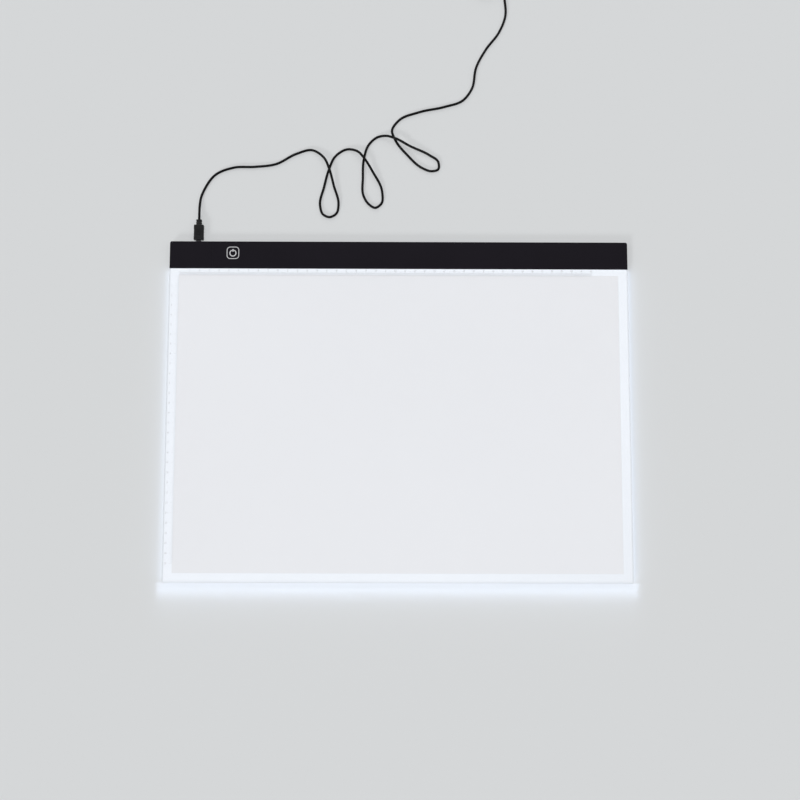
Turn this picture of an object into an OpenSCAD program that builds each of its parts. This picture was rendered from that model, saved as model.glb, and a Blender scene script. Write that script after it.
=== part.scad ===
// Edge-lit tracing pad of the A3 class, with its plug-in power lead.
// +X is to the right, +Y to the back where the control bar is, +Z up.
// The origin is on the table, under the middle of the pad.

/* [Pad] */
// Width of the pad, left to right
pad_w = 468; // [420:1:520]
// Depth of the pad, front to back
pad_d = 344.5; // [300:0.5:400]
// Radius of the corners, seen from above
corner_r = 2; // [0.5:0.1:4]

/* [Layers] */
// Thickness of the white back plate
back_t = 0.8; // [0.6:0.1:1.5]
// Thickness of the white reflector sheet
reflector_t = 0.2; // [0.1:0.05:0.4]
// Thickness of the clear light guide
guide_t = 2.5; // [2.2:0.1:4]
// Thickness of the frosted diffuser sheet and of the tape around it
diffuser_t = 0.2; // [0.1:0.05:0.5]
// Thickness of the clear cover plate
cover_t = 1; // [0.8:0.1:2]
// Clear border left and right of the diffuser
border_side = 9.5; // [5:0.5:20]
// Clear border in front of the diffuser
border_front = 9; // [5:0.5:20]
// Clear strip with the ruler, between the diffuser and the bar
border_back = 6.5; // [4:0.5:12]
// Gap between the diffuser and its tape, at the bar's front edge and at the bar's seam
seam = 0.15; // [0.05:0.05:0.4]

/* [Feet] */
// Diameter of a rubber foot
foot_dia = 12; // [6:0.5:20]
// Thickness of a rubber foot
foot_h = 0.8; // [0.7:0.1:3]
// Distance of a foot's middle from the edges
foot_inset = 24; // [12:1:60]

/* [Control bar] */
// Depth of the black bar, front to back
bar_d = 28; // [26:0.5:40]
// Thickness of the bar's back and end walls
bar_wall = 1.4; // [1:0.1:2]
// Thickness of the bar's top wall
bar_top_t = 1; // [0.8:0.1:2]
// Height of the bar above the cover plate
bar_proud = 0.3; // [0.1:0.1:1.5]
// Thickness of the rib that carries the light strip
rib_t = 1; // [0.8:0.1:2]
// Distance from the wire notch to the seam between the bar and its left end piece
end_margin = 4; // [2:0.5:6]

/* [Light strip] */
// How far the light guide reaches under the bar
guide_tuck = 5; // [3:0.5:7]
// Gap around the light guide's tongue and in front of the emitters
light_gap = 0.2; // [0.1:0.05:0.4]
// Width of an emitter
led_w = 3; // [2:0.1:4]
// Height of an emitter
led_h = 1.4; // [1:0.1:2]
// Depth of an emitter
led_t = 0.8; // [0.5:0.1:1.2]
// Distance from one emitter to the next
led_pitch = 7.5; // [5:0.5:12]
// Thickness of the strip's board
strip_t = 0.8; // [0.5:0.1:1.2]
// Thickness of the tape between the strip and the rib
strip_tape_t = 0.2; // [0.1:0.05:0.4]
// Width of the foam seal over the light guide's tongue
seal_w = 4; // [2:0.5:5]

/* [Bar screws] */
// Number of screws along the bar
bar_screw_count = 5; // [2:1:9]
// Diameter of a bar screw
bar_screw_dia = 2; // [1.6:0.1:2.4]
// Diameter of a bar screw's head
bar_head_dia = 3.6; // [3:0.1:4.2]
// Height of a bar screw's head
bar_head_h = 0.5; // [0.4:0.1:0.6]
// Distance of the end screws from the pad's left and right edges
bar_screw_inset = 8; // [7:0.5:10]
// Distance of the bar screws from the pad's back edge
bar_screw_back = 8; // [6:0.5:12]

/* [Control board] */
// Distance of the board from the pad's left edge
board_left = 16; // [14:0.5:17]
// Length of the board
board_w = 62; // [60:0.5:70]
// Thickness of the board
board_t = 0.8; // [0.6:0.1:1]
// Diameter of a board screw
board_screw_dia = 1.6; // [1.2:0.1:1.8]
// Diameter of a board screw's head
board_head_dia = 3; // [2.4:0.1:3.4]
// Height of a board screw's head
board_head_h = 0.5; // [0.3:0.1:0.6]
// Distance of a board screw from the board's end
board_screw_inset = 3.5; // [2.5:0.5:4]
// Distance of the first feed wire from the board's left end
wire_left = 20; // [19:0.5:22]
// Wall of the bosses that the screws go into
boss_wall = 1.2; // [0.8:0.1:1.4]
// Clearance around a screw in its boss
screw_fit = 0.05; // [0.02:0.01:0.1]
// Clearance around a screw in the plate or board that it holds
screw_pass = 0.2; // [0.1:0.05:0.4]

/* [Power key] */
// Gap between the key's foam and the boss of the board's right screw
foam_gap = 3; // [1:0.1:5]
// Distance of the key from the pad's back edge
key_back = 11.9; // [11:0.1:12.5]
// Side of the key's square outline
key_size = 12.8; // [10:0.1:16]
// Corner radius of the key's outline
key_corner_r = 3.6; // [1.5:0.1:4.5]
// Line width of the outline
key_line = 1; // [0.6:0.1:1.6]
// Outer diameter of the power sign
sign_dia = 7.5; // [6:0.1:9]
// Line width of the power sign
sign_line = 1.3; // [0.8:0.1:1.8]
// Opening of the power sign, in degrees
sign_gap = 70; // [50:5:110]
// Length of the power sign's stroke
sign_stroke = 3.1; // [2:0.1:4]
// Thickness of the printed key
key_print_t = 0.1; // [0.05:0.05:0.2]
// Diameter of the conductive foam under the key
foam_dia = 10; // [7:0.5:11]

/* [Micro socket] */
// Distance of the socket from the pad's left edge
socket_left = 28.7; // [28:0.1:31]
// Width of the socket's opening
socket_w = 7; // [6.8:0.05:7.2]
// Height of the socket's opening
socket_h = 1.9; // [1.8:0.05:2]
// Cut of the opening's lower corners
socket_chamfer = 0.8; // [0.5:0.05:1]
// Length of the socket
socket_l = 6.4; // [6:0.1:7]
// Sheet thickness of the socket's shell
socket_wall = 0.3; // [0.2:0.05:0.35]
// Distance of the socket's mouth in from the bar's back face
socket_setback = 0.2; // [0:0.05:0.4]
// Clearance around the socket in the bar and in the board
socket_room = 0.2; // [0.1:0.05:0.3]
// Thickness of the block that holds the tongue
tongue_base = 0.8; // [0.5:0.1:1.2]
// Width of the tongue
tongue_w = 4; // [3.6:0.1:4.4]
// Thickness of the tongue
tongue_t = 0.5; // [0.4:0.05:0.55]
// Number of contacts in the socket and in the plug
micro_contacts = 5; // [4:1:5]
// Distance from one contact to the next
micro_pitch = 0.65; // [0.6:0.01:0.7]
// Width of a contact
micro_contact_w = 0.3; // [0.2:0.05:0.4]
// Thickness of a contact
micro_contact_t = 0.1; // [0.08:0.01:0.12]

/* [Micro plug] */
// Clearance of the plug in the socket, on each side
plug_fit = 0.1; // [0.06:0.02:0.14]
// Sheet thickness of the plug's shell
plug_wall = 0.2; // [0.15:0.01:0.22]
// Gap between the plug's tip and the block behind it
plug_end_gap = 0.3; // [0.2:0.05:0.5]
// Bare metal between the pad and the grip
plug_gap = 2; // [0.5:0.1:4]
// Width of the grip
grip_w = 10; // [9:0.1:12]
// Length of the grip
grip_l = 15.5; // [12:0.5:22]
// Height of the grip
grip_h = 6; // [5:0.1:6.2]
// Corner radius of the grip
grip_r = 1.3; // [0.6:0.1:2]
// Width of the collar where the cord leaves the grip
collar_w = 6; // [5:0.1:8]
// Height of the collar
collar_h = 4.8; // [4:0.1:5]
// Length of the collar
collar_l = 5.5; // [4:0.1:9]
// Depth of the grooves around the collar
collar_groove = 0.5; // [0.2:0.1:0.8]
// Number of ribs on a collar
collar_ribs = 3; // [2:1:5]

/* [Cord] */
// Diameter of the cord
cord_dia = 2.6; // [2:0.1:3]
// Turns of the coil
coil_turns = 4.25; // [2.25:1:6.25]
// Radius of the coil at the middle of its turns
coil_mid_r = 14.3; // [13:0.1:18]
// Gap from one turn of the coil to the next, and from layer to layer
turn_gap = 0.6; // [0.5:0.1:1]
// Straight run from the coil to the charger plug
tail_l = 16; // [10:1:40]
// Width of the tie around the coil
tie_w = 4; // [2:0.5:8]
// Thickness of the tie
tie_t = 0.6; // [0.4:0.1:1]
// Gap between the tie and the cord
tie_gap = 0.3; // [0.2:0.05:0.5]
// Length of the tie's twisted end
tie_twist_l = 7; // [4:0.5:12]

/* [Charger plug] */
// Width of the steel shell
charger_w = 12; // [11.9:0.05:12.1]
// Height of the steel shell
charger_h = 4.5; // [4.4:0.05:4.6]
// Length of the shell outside the grip
charger_l = 18.8; // [17:0.1:20]
// Sheet thickness of the shell
charger_wall = 0.3; // [0.2:0.05:0.4]
// Side of the square windows in the shell
window = 2.4; // [1.5:0.1:3]
// Distance of the windows from the shell's mouth
window_in = 5.2; // [4:0.1:7]
// Distance of the windows from the shell's middle line
window_side = 2.6; // [2:0.1:3.5]
// Thickness of the plastic tongue
charger_tongue_t = 1.9; // [1.5:0.05:2]
// Distance of the tongue in from the shell's mouth
charger_setback = 0.6; // [0.2:0.1:1.5]
// Number of contacts on the tongue
charger_contacts = 4; // [4:1:4]
// Distance from one contact to the next
charger_pitch = 2.3; // [2:0.1:2.5]
// Width of a contact
charger_contact_w = 1.1; // [0.8:0.1:1.5]
// Length of a contact
charger_contact_l = 8; // [6:0.5:10]
// Thickness of a contact
charger_contact_t = 0.15; // [0.1:0.05:0.2]
// Width of the charger plug's grip
charger_grip_w = 15.6; // [14:0.1:18]
// Height of the charger plug's grip
charger_grip_h = 8.4; // [7:0.1:9]
// Length of the charger plug's grip
charger_grip_l = 26; // [20:0.5:34]
// Corner radius of the charger plug's grip
charger_grip_r = 2; // [0.8:0.1:3]
// Length of the charger plug's collar
charger_collar_l = 8; // [5:0.5:14]

/* [Hidden] */
$fn = 48;
// A small overlap that keeps cuts clean
cut = 0.5;
// Height of a cord or plug above the table
rest_gap = 0.1;

half_w = pad_w / 2;
half_d = pad_d / 2;
back_top = foot_h + back_t;
guide_z = back_top + reflector_t;
sheet_z = guide_z + guide_t;
cover_z = sheet_z + diffuser_t;
bar_z = cover_z + cover_t + bar_proud;
ceiling_z = bar_z - bar_top_t;
bar_room = ceiling_z - back_top;

bar_front = half_d - bar_d;
bar_inside_x = half_w - bar_wall;
bar_inside_back = half_d - bar_wall;
tongue_x = bar_inside_x - light_gap;
guide_back = bar_front + guide_tuck;
led_y = guide_back + light_gap;
strip_y = led_y + led_t;
strip_tape_y = strip_y + strip_t;
rib_y = strip_tape_y + strip_tape_t;
rib_back = rib_y + rib_t;
// Clearance above the light strip, and under the rib
strip_room = 0.2;
strip_h = bar_room - strip_room;
strip_w = 2 * tongue_x - 2 * light_gap;
led_count = floor((strip_w - led_w) / led_pitch) + 1;

usb_x = socket_left - half_w;
usb_z = back_top + bar_room / 2;
key_y = half_d - key_back;
socket_mouth = half_d - socket_setback;
socket_out_w = socket_w + 2 * socket_wall;
socket_out_h = socket_h + 2 * socket_wall;
socket_out_chamfer = socket_chamfer + socket_wall * (2 - sqrt(2));
socket_end = socket_mouth - socket_l;

// The control board hangs under the bar's ceiling, level with the middle of the socket
board_x = board_left - half_w;
board_gap = 0.3;
board_back = bar_inside_back - board_gap;
board_front = rib_back + board_gap;
board_d = board_back - board_front;
board_top = usb_z;
board_z = board_top - board_t;
board_screw_y = (board_front + board_back) / 2;
board_screw_xs = [board_x + board_screw_inset, board_x + board_w - board_screw_inset];
board_boss_dia = board_screw_dia + 2 * boss_wall;
key_x = board_screw_xs[1] - board_boss_dia / 2 - foam_gap - foam_dia / 2;
bar_screw_y = half_d - bar_screw_back;
bar_screw_step = (pad_w - 2 * bar_screw_inset) / (bar_screw_count - 1);
bar_screw_xs = [for (i = [0 : bar_screw_count - 1]) bar_screw_inset - half_w + i * bar_screw_step];
// A screw stops this far short of the bottom of its hole, which leaves a skin under the top face
screw_tip_gap = 0.3;
screw_skin = 0.6;
bar_hole_top = bar_z - screw_skin;
// Width of a screw's cross recess, and its reach as a part of the head's diameter
cross_w = 0.5;
cross_reach = 0.6;

// Small parts on the board: places from the board's left end and back edge, then sizes
chip_at = [33, 7];
chip_size = [4.9, 3.9, 1.2];
transistor_at = [22, 9];
transistor_size = [2.9, 1.4, 1];
resistor_size = [2, 1.25, 0.5];
resistor_step = 3.4;
resistor_count = 4;
resistor_row_w = (resistor_count - 1) * resistor_step + resistor_size[0];
// The row of resistors ends this far short of the key's foam
resistor_gap = 5.3;
resistor_at = [key_x - foam_dia / 2 - resistor_gap - resistor_row_w - board_x, 12.5];
capacitor_size = [3.2, 1.6, 1.2];
capacitor_at = [22, 4];
capacitor_step = 5.8;
capacitor_count = 2;
// Two feed wires cross from the board to the light strip through a notch in the rib
wire_dia = 1;
wire_step = 2.6;
wire_x = board_x + wire_left;
wire_on_board = 2;
notch_side = 1;
notch_left = wire_x - wire_dia / 2 - notch_side;
notch_right = wire_x + wire_step + wire_dia / 2 + notch_side;
end_seam = notch_right + end_margin;

// The plug's tongue slot, measured from the middle of the plug
plug_w = socket_w - 2 * plug_fit;
plug_h = socket_h - 2 * plug_fit;
plug_chamfer = socket_chamfer - plug_fit * (2 - sqrt(2));
plug_in = socket_l - socket_wall - tongue_base - plug_end_gap;
plug_inner_w = plug_w - 2 * plug_wall;
plug_inner_h = plug_h - 2 * plug_wall;
plug_inner_chamfer = plug_chamfer - plug_wall * (2 - sqrt(2));
plug_reach = plug_gap + socket_setback + plug_in;
tongue_l = plug_in - plug_end_gap;
insert_floor = plug_inner_h / 2 - 3 * micro_contact_t;

cord_r = cord_dia / 2;
cord_z = cord_r + rest_gap;
cord_exit = [usb_x, half_d + plug_gap + grip_l + collar_l, 0];
turn_step = cord_dia + turn_gap;
coil_out_r = coil_mid_r + turn_step * coil_turns / 4;
coil_z = rest_gap + tie_t + tie_gap + cord_r;
charger_z = rest_gap + charger_grip_h / 2;

// The cord's way over the table: sideways and back from the plug's collar, then height
over = cord_z + cord_dia + turn_gap;
rise = (cord_z + over) / 2;
coil_from = [314, 262, coil_z];
route = [
    [0, 0, usb_z], [0, 6, usb_z], [0, 15, 2.2], [1, 24, cord_z], [5, 34, cord_z], [15, 48, cord_z],
    [34, 56, cord_z], [56, 57, cord_z], [78, 60, cord_z], [99, 71, cord_z], [115, 75, cord_z],
    [128, 66, rise], [133, 55, over], [138, 37, rise],
    [143, 17, cord_z], [141, 8, cord_z], [134, 4, cord_z], [127, 7, cord_z], [124, 16, cord_z],
    [128, 36, cord_z], [133, 55, cord_z], [139, 68, cord_z], [152, 76, cord_z],
    [163, 73, rise], [169, 66, over], [178, 52, rise],
    [188, 31, cord_z], [187, 18, cord_z], [181, 14, cord_z], [174, 18, cord_z], [169, 26, cord_z],
    [168, 46, cord_z], [169, 66, cord_z], [174, 81, cord_z], [183, 89, cord_z],
    [192, 90, rise], [201, 87, over], [217, 79, rise],
    [237, 70, cord_z], [246, 63, cord_z], [246, 55, cord_z], [239, 53, cord_z], [230, 56, cord_z],
    [214, 70, cord_z], [201, 87, cord_z], [198, 96, cord_z], [205, 107, cord_z], [226, 116, cord_z],
    [253, 122, cord_z], [272, 129, cord_z], [281, 141, cord_z], [286, 165, cord_z],
    [296, 184, cord_z], [310, 203, cord_z], [317, 222, cord_z], [316, 240, 1.8],
    [coil_from[0], 253, coil_z], [coil_from[0], coil_from[1] - cord_dia, coil_z]
];
run_steps = 2;
run_sides = 8;
coil_steps = 24;
coil_sides = 6;
tail_steps = 6;
// The tie crosses the coil at this angle
tie_angle = 200;

function unit(v) = v / norm(v);
function mix(a, b, t) = a + (b - a) * t;
function ease(t) = t * t * (3 - 2 * t);

// Direction of a smooth curve at point i, weighted by the distances to its neighbours
function heading(p, i) =
    let (last = len(p) - 1)
    i == 0 ? unit(p[1] - p[0]) :
    i == last ? unit(p[last] - p[last - 1]) :
    let (a = p[i] - p[i - 1], b = p[i + 1] - p[i])
    (a / norm(a) * norm(b) + b / norm(b) * norm(a)) / (norm(a) + norm(b));

function hermite(p, q, u, v, t) =
    let (span = norm(q - p))
    p * (1 - ease(t)) + q * ease(t)
    + u * span * t * (1 - t) * (1 - t) - v * span * t * t * (1 - t);

// A curve through all points, with the same number of steps between each pair
function smooth(p, steps) = [
    for (i = [0 : len(p) - 2])
    for (s = [0 : steps - 1])
    hermite(p[i], p[i + 1], heading(p, i), heading(p, i + 1), s / steps),
    p[len(p) - 1]
];

// The coil winds in on the table and out again on top of itself
function coil_radius(t) = coil_out_r - turn_step * min(t, coil_turns - t);
function coil_height(t) =
    coil_z + turn_step * ease(min(1, max(0, (t - coil_turns / 2 + 0.25) * 2)));
function coil_point(t) = [
    coil_from[0] - coil_out_r + coil_radius(t) * cos(360 * t),
    coil_from[1] + coil_radius(t) * sin(360 * t),
    coil_height(t)
];
coil_end = coil_point(coil_turns);
tail_dir = [-sin(360 * coil_turns), cos(360 * coil_turns), 0];
function tail_point(s) = [
    coil_end[0] + tail_dir[0] * tail_l * s,
    coil_end[1] + tail_dir[1] * tail_l * s,
    mix(coil_end[2], charger_z, ease(s))
];
charger_at = tail_point(1) + tail_dir * cord_dia;

run_path = [for (p = smooth(route, run_steps)) cord_exit + p];
coil_path = [for (p = [
    coil_from - [0, cord_dia, 0],
    for (i = [0 : coil_turns * coil_steps]) coil_point(i / coil_steps),
    for (i = [1 : tail_steps]) tail_point(i / tail_steps),
    charger_at
]) cord_exit + p];

// Least room between two stretches of a path that are at least skip points apart
function self_gap(p, skip) = min([
    for (i = [0 : len(p) - 1 - skip])
    for (j = [i + skip : len(p) - 1])
    norm(p[i] - p[j])
]) - cord_dia;
function steps_of(p) = [for (i = [1 : len(p) - 1]) norm(p[i] - p[i - 1])];
function path_length(p) = steps_of(p) * [for (s = steps_of(p)) 1];

echo(coil_gap = self_gap(coil_path, coil_steps / 2));
echo(run_gap = self_gap(run_path, 8));
echo(cord_length = path_length(run_path) + path_length(coil_path));

// Shared shapes

// A flat block with round corners seen from above, centred in width and depth
module rounded_slab(w, d, h, r) {
    translate([-w / 2, r - d / 2, 0]) cube([w, d - 2 * r, h]);
    translate([r - w / 2, -d / 2, 0]) cube([w - 2 * r, d, h]);
    for (x = [r - w / 2, w / 2 - r])
        for (y = [r - d / 2, d / 2 - r])
            translate([x, y, 0]) cylinder(r = r, h = h);
}

// A block between two corners
module box(low, high) {
    translate(low) cube(high - low);
}

// The part of the pad's outline between two depths and two heights
module pad_layer(y0, y1, z0, z1) {
    intersection() {
        translate([0, 0, z0]) rounded_slab(pad_w, pad_d, z1 - z0, corner_r);
        box([-pad_w, y0, z0 - cut], [pad_w, y1, z1 + cut]);
    }
}

// Carries a flat shape upright, so that it runs back from y = 0 over a length
module along_y(length) {
    translate([0, length, 0]) rotate([90, 0, 0]) linear_extrude(length) children();
}

// A rectangle that stands on a long side, with its two lower corners cut
module cut_corner_shape(w, h, c) {
    polygon([
        [-w / 2, h / 2], [w / 2, h / 2], [w / 2, c - h / 2],
        [w / 2 - c, -h / 2], [c - w / 2, -h / 2], [-w / 2, c - h / 2]
    ]);
}

module rounded_shape(w, h, r) {
    square([w - 2 * r, h], center = true);
    square([w, h - 2 * r], center = true);
    for (x = [r - w / 2, w / 2 - r])
        for (y = [r - h / 2, h / 2 - r])
            translate([x, y]) circle(r);
}

// A moulded plug body, rounded seen from above and seen along the cord
module grip_body(w, l, h, r) {
    intersection() {
        along_y(l) rounded_shape(w, h, r);
        translate([0, l / 2, -h]) rounded_slab(w, l, 2 * h, r);
    }
}

// A ribbed collar that runs back from y = 0
module collar(w, l, h, groove) {
    rib_l = l / (2 * collar_ribs - 1);
    along_y(l) rounded_shape(w - 2 * groove, h - 2 * groove, grip_r);
    for (i = [0 : collar_ribs - 1])
        translate([0, 2 * i * rib_l, 0]) along_y(rib_l) rounded_shape(w, h, grip_r);
}

// A pan-head screw that points up, with its head's face at z = 0
module screw(dia, length, head_dia, head_h) {
    cylinder(d = dia, h = length);
    translate([0, 0, -head_h]) difference() {
        cylinder(d = head_dia, h = head_h);
        for (a = [0, 90])
            rotate(a) cube([head_dia * cross_reach, cross_w, head_h], center = true);
    }
}

// A row of small blocks on the control board
module board_row(at, size, step, count) {
    for (i = [0 : count - 1])
        translate([board_x + at[0] + i * step, board_back - at[1], board_top])
            cube(size);
}

// A round tube through a list of points
module tube(path, r, sides) {
    rings = len(path);
    points = [
        for (i = [0 : rings - 1])
        let (t = unit(path[min(i + 1, rings - 1)] - path[max(i - 1, 0)]))
        let (side = unit(cross(t, [0, 0, 1])), up = cross(side, t))
        for (k = [0 : sides - 1])
        path[i] + r * (cos(360 * k / sides) * side + sin(360 * k / sides) * up)
    ];
    walls = [
        for (i = [0 : rings - 2])
        for (k = [0 : sides - 1])
        let (n = (k + 1) % sides, a = i * sides, b = a + sides)
        each [[a + k, a + n, b + n], [a + k, b + n, b + k]]
    ];
    last = (rings - 1) * sides;
    front = [for (k = [1 : sides - 2]) [0, k + 1, k]];
    back = [for (k = [1 : sides - 2]) [last, last + k, last + k + 1]];
    polyhedron(points, concat(walls, front, back));
}

// The pad's layers

module back_plate() {
    color("whitesmoke") difference() {
        pad_layer(-half_d, half_d, foot_h, back_top);
        for (x = bar_screw_xs)
            translate([x, bar_screw_y, foot_h - cut])
                cylinder(d = bar_screw_dia + 2 * screw_pass, h = back_t + 2 * cut);
    }
}

module rubber_feet() {
    color("dimgray")
        for (x = [foot_inset - half_w, half_w - foot_inset])
            for (y = [foot_inset - half_d, half_d - foot_inset])
                translate([x, y, 0]) cylinder(d = foot_dia, h = foot_h);
}

// The light guide's outline: full width in front, a narrower tongue under the bar
module guide_layer(z0, z1) {
    pad_layer(-half_d, bar_front - seam, z0, z1);
    box([-tongue_x, bar_front - 2 * seam, z0], [tongue_x, guide_back, z1]);
}

module reflector_sheet() {
    color("white") guide_layer(back_top, guide_z);
}

module light_guide() {
    color("azure", 0.6) guide_layer(guide_z, sheet_z);
}

module diffuser_sheet() {
    color("ghostwhite")
        box([border_side - half_w, border_front - half_d, sheet_z],
            [half_w - border_side, bar_front - border_back, cover_z]);
}

module cover_tape() {
    color("aliceblue", 0.6) difference() {
        pad_layer(-half_d, bar_front - seam, sheet_z, cover_z);
        box([border_side - half_w - seam, border_front - half_d - seam, sheet_z - cut],
            [half_w - border_side + seam, bar_front - border_back + seam, cover_z + cut]);
    }
}

module cover_plate() {
    color("aliceblue", 0.4) pad_layer(-half_d, bar_front - seam, cover_z, cover_z + cover_t);
}

// The control bar

module boss(x, y, z, dia) {
    translate([x, y, z]) cylinder(d = dia, h = ceiling_z - z + cut);
}

// The whole bar, which its two pieces are cut from
module bar_shell() {
    difference() {
        union() {
            difference() {
                pad_layer(bar_front, half_d, back_top, bar_z);
                box([-bar_inside_x, bar_front - cut, back_top - cut],
                    [bar_inside_x, bar_inside_back, ceiling_z]);
            }
            difference() {
                box([-bar_inside_x - cut, rib_y, back_top + strip_room],
                    [bar_inside_x + cut, rib_back, ceiling_z + cut]);
                box([notch_left, rib_y - cut, 0], [notch_right, rib_back + cut, ceiling_z]);
            }
            for (x = bar_screw_xs)
                boss(x, bar_screw_y, back_top, bar_screw_dia + 2 * boss_wall);
            for (x = board_screw_xs)
                boss(x, board_screw_y, board_top, board_boss_dia);
        }
        for (x = bar_screw_xs)
            translate([x, bar_screw_y, back_top - cut])
                cylinder(d = bar_screw_dia + 2 * screw_fit, h = bar_hole_top - back_top + cut);
        for (x = board_screw_xs)
            translate([x, board_screw_y, board_top - cut])
                cylinder(d = board_screw_dia + 2 * screw_fit, h = bar_hole_top - board_top + cut);
        translate([usb_x, bar_inside_back - cut, usb_z])
            along_y(bar_wall + 2 * cut)
                square([socket_out_w + 2 * socket_room, socket_out_h + 2 * socket_room], center = true);
    }
}

module bar_cover() {
    color([0.11, 0.1, 0.12]) intersection() {
        bar_shell();
        box([end_seam, 0, 0], [pad_w, pad_d, 2 * bar_z]);
    }
}

// The left end, which holds the socket
module bar_end() {
    color([0.11, 0.1, 0.12]) intersection() {
        bar_shell();
        box([-pad_w, 0, 0], [end_seam - seam, pad_d, 2 * bar_z]);
    }
}

module power_mark() {
    color("silver") translate([key_x, key_y, bar_z]) linear_extrude(key_print_t) {
        difference() {
            rounded_shape(key_size, key_size, key_corner_r);
            rounded_shape(key_size - 2 * key_line, key_size - 2 * key_line, key_corner_r - key_line);
        }
        difference() {
            circle(d = sign_dia);
            circle(d = sign_dia - 2 * sign_line);
            polygon([[0, 0], sign_dia * [-sin(sign_gap / 2), cos(sign_gap / 2)],
                     sign_dia * [sin(sign_gap / 2), cos(sign_gap / 2)]]);
        }
        translate([-sign_line / 2, sign_dia / 2 - sign_stroke]) square([sign_line, sign_stroke]);
    }
}

module light_seal() {
    color("black") box([-tongue_x, bar_front + light_gap, sheet_z],
                       [tongue_x, bar_front + light_gap + seal_w, ceiling_z]);
}

module led_board() {
    color("white") box([-strip_w / 2, strip_y, back_top],
                       [strip_w / 2, strip_tape_y, back_top + strip_h]);
}

module led_chips() {
    row_w = (led_count - 1) * led_pitch;
    color("lightyellow")
        for (i = [0 : led_count - 1])
            translate([i * led_pitch - row_w / 2 - led_w / 2, led_y, guide_z + (guide_t - led_h) / 2])
                cube([led_w, led_t, led_h]);
}

// The tape stops short of the notch that the wires go through
module led_tape() {
    color("gold") difference() {
        box([-strip_w / 2, strip_tape_y, back_top + strip_room], [strip_w / 2, rib_y, back_top + strip_h]);
        box([notch_left, strip_tape_y - cut, 0], [notch_right, rib_y + cut, bar_z]);
    }
}

// The control board and what it carries

module control_board() {
    color("darkgreen") difference() {
        box([board_x, board_front, board_z], [board_x + board_w, board_back, board_top]);
        box([usb_x - socket_out_w / 2 - socket_room, socket_end - socket_room, board_z - cut],
            [usb_x + socket_out_w / 2 + socket_room, board_back + cut, board_top + cut]);
        for (x = board_screw_xs)
            translate([x, board_screw_y, board_z - cut])
                cylinder(d = board_screw_dia + 2 * screw_pass, h = board_t + 2 * cut);
    }
}

module usb_socket_shell() {
    ear = [1.2, 3, socket_wall];
    color("silver") difference() {
        union() {
            translate([usb_x, socket_end, usb_z])
                along_y(socket_l) cut_corner_shape(socket_out_w, socket_out_h, socket_out_chamfer);
            for (s = [-1, 1])
                translate([usb_x + s * (socket_out_w + ear[0]) / 2, socket_end + ear[1] / 2 + cut,
                           board_top + ear[2] / 2])
                    cube([ear[0] + socket_wall, ear[1], ear[2]], center = true);
        }
        translate([usb_x, socket_end + socket_wall, usb_z])
            along_y(socket_l) cut_corner_shape(socket_w, socket_h, socket_chamfer);
    }
}

module usb_socket_tongue() {
    color("black") translate([usb_x, socket_end + socket_wall, usb_z]) {
        along_y(tongue_base) cut_corner_shape(socket_w, socket_h, socket_chamfer);
        translate([-tongue_w / 2, 0, 0]) cube([tongue_w, tongue_base + tongue_l, tongue_t]);
    }
}

// One row of contacts, centred in width, that runs back from y = 0
module contact_row(count, pitch, size) {
    for (i = [0 : count - 1])
        translate([(i - (count - 1) / 2) * pitch - size[0] / 2, 0, 0]) cube(size);
}

module usb_socket_contacts() {
    color("gold") translate([usb_x, socket_end + socket_wall + tongue_base, usb_z - micro_contact_t])
        contact_row(micro_contacts, micro_pitch, [micro_contact_w, tongue_l, micro_contact_t]);
}

module touch_foam() {
    color("gray") translate([key_x, key_y, board_top]) cylinder(d = foam_dia, h = ceiling_z - board_top);
}

module touch_chip() {
    color("black") board_row(chip_at, chip_size, 0, 1);
}

module dimmer_transistor() {
    color("black") board_row(transistor_at, transistor_size, 0, 1);
}

module board_resistors() {
    color("darkslategray") board_row(resistor_at, resistor_size, resistor_step, resistor_count);
}

module board_capacitors() {
    color("tan") board_row(capacitor_at, capacitor_size, capacitor_step, capacitor_count);
}

// A short wire from the board's front edge to the back of the light strip
module feed_wire(place) {
    translate([wire_x + place * wire_step, strip_tape_y, board_top + wire_dia / 2])
        along_y(board_front + wire_on_board - strip_tape_y) circle(d = wire_dia);
}

module feed_wire_red() {
    color("firebrick") feed_wire(0);
}

module feed_wire_black() {
    color("black") feed_wire(1);
}

module bar_screws() {
    color("silver")
        for (x = bar_screw_xs)
            translate([x, bar_screw_y, foot_h])
                screw(bar_screw_dia, bar_hole_top - screw_tip_gap - foot_h, bar_head_dia, bar_head_h);
}

module board_screws() {
    color("silver")
        for (x = board_screw_xs)
            translate([x, board_screw_y, board_z])
                screw(board_screw_dia, bar_hole_top - screw_tip_gap - board_z, board_head_dia, board_head_h);
}

// The plug at the pad, with the middle of its grip's face at the origin

module at_plug() {
    translate([usb_x, half_d + plug_gap, usb_z]) children();
}

module plug_shell() {
    color("silver") at_plug() translate([0, -plug_reach, 0]) difference() {
        along_y(plug_reach) cut_corner_shape(plug_w, plug_h, plug_chamfer);
        translate([0, -cut, 0])
            along_y(plug_reach + 2 * cut) cut_corner_shape(plug_inner_w, plug_inner_h, plug_inner_chamfer);
    }
}

// A floor under the contacts, and a solid block behind the tongue's slot
module plug_insert() {
    color("black") at_plug() translate([0, -plug_reach, 0]) difference() {
        along_y(plug_reach) cut_corner_shape(plug_inner_w, plug_inner_h, plug_inner_chamfer);
        translate([-plug_w / 2, -cut, -insert_floor]) cube([plug_w, plug_in + cut, plug_h]);
    }
}

module plug_contacts() {
    color("gold") at_plug() translate([0, -plug_reach, -insert_floor])
        contact_row(micro_contacts, micro_pitch, [micro_contact_w, plug_in, micro_contact_t]);
}

module plug_grip() {
    color([0.13, 0.13, 0.14]) at_plug() {
        grip_body(grip_w, grip_l, grip_h, grip_r);
        translate([0, grip_l - collar_groove, 0])
            collar(collar_w, collar_l + collar_groove, collar_h, collar_groove);
    }
}

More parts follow.
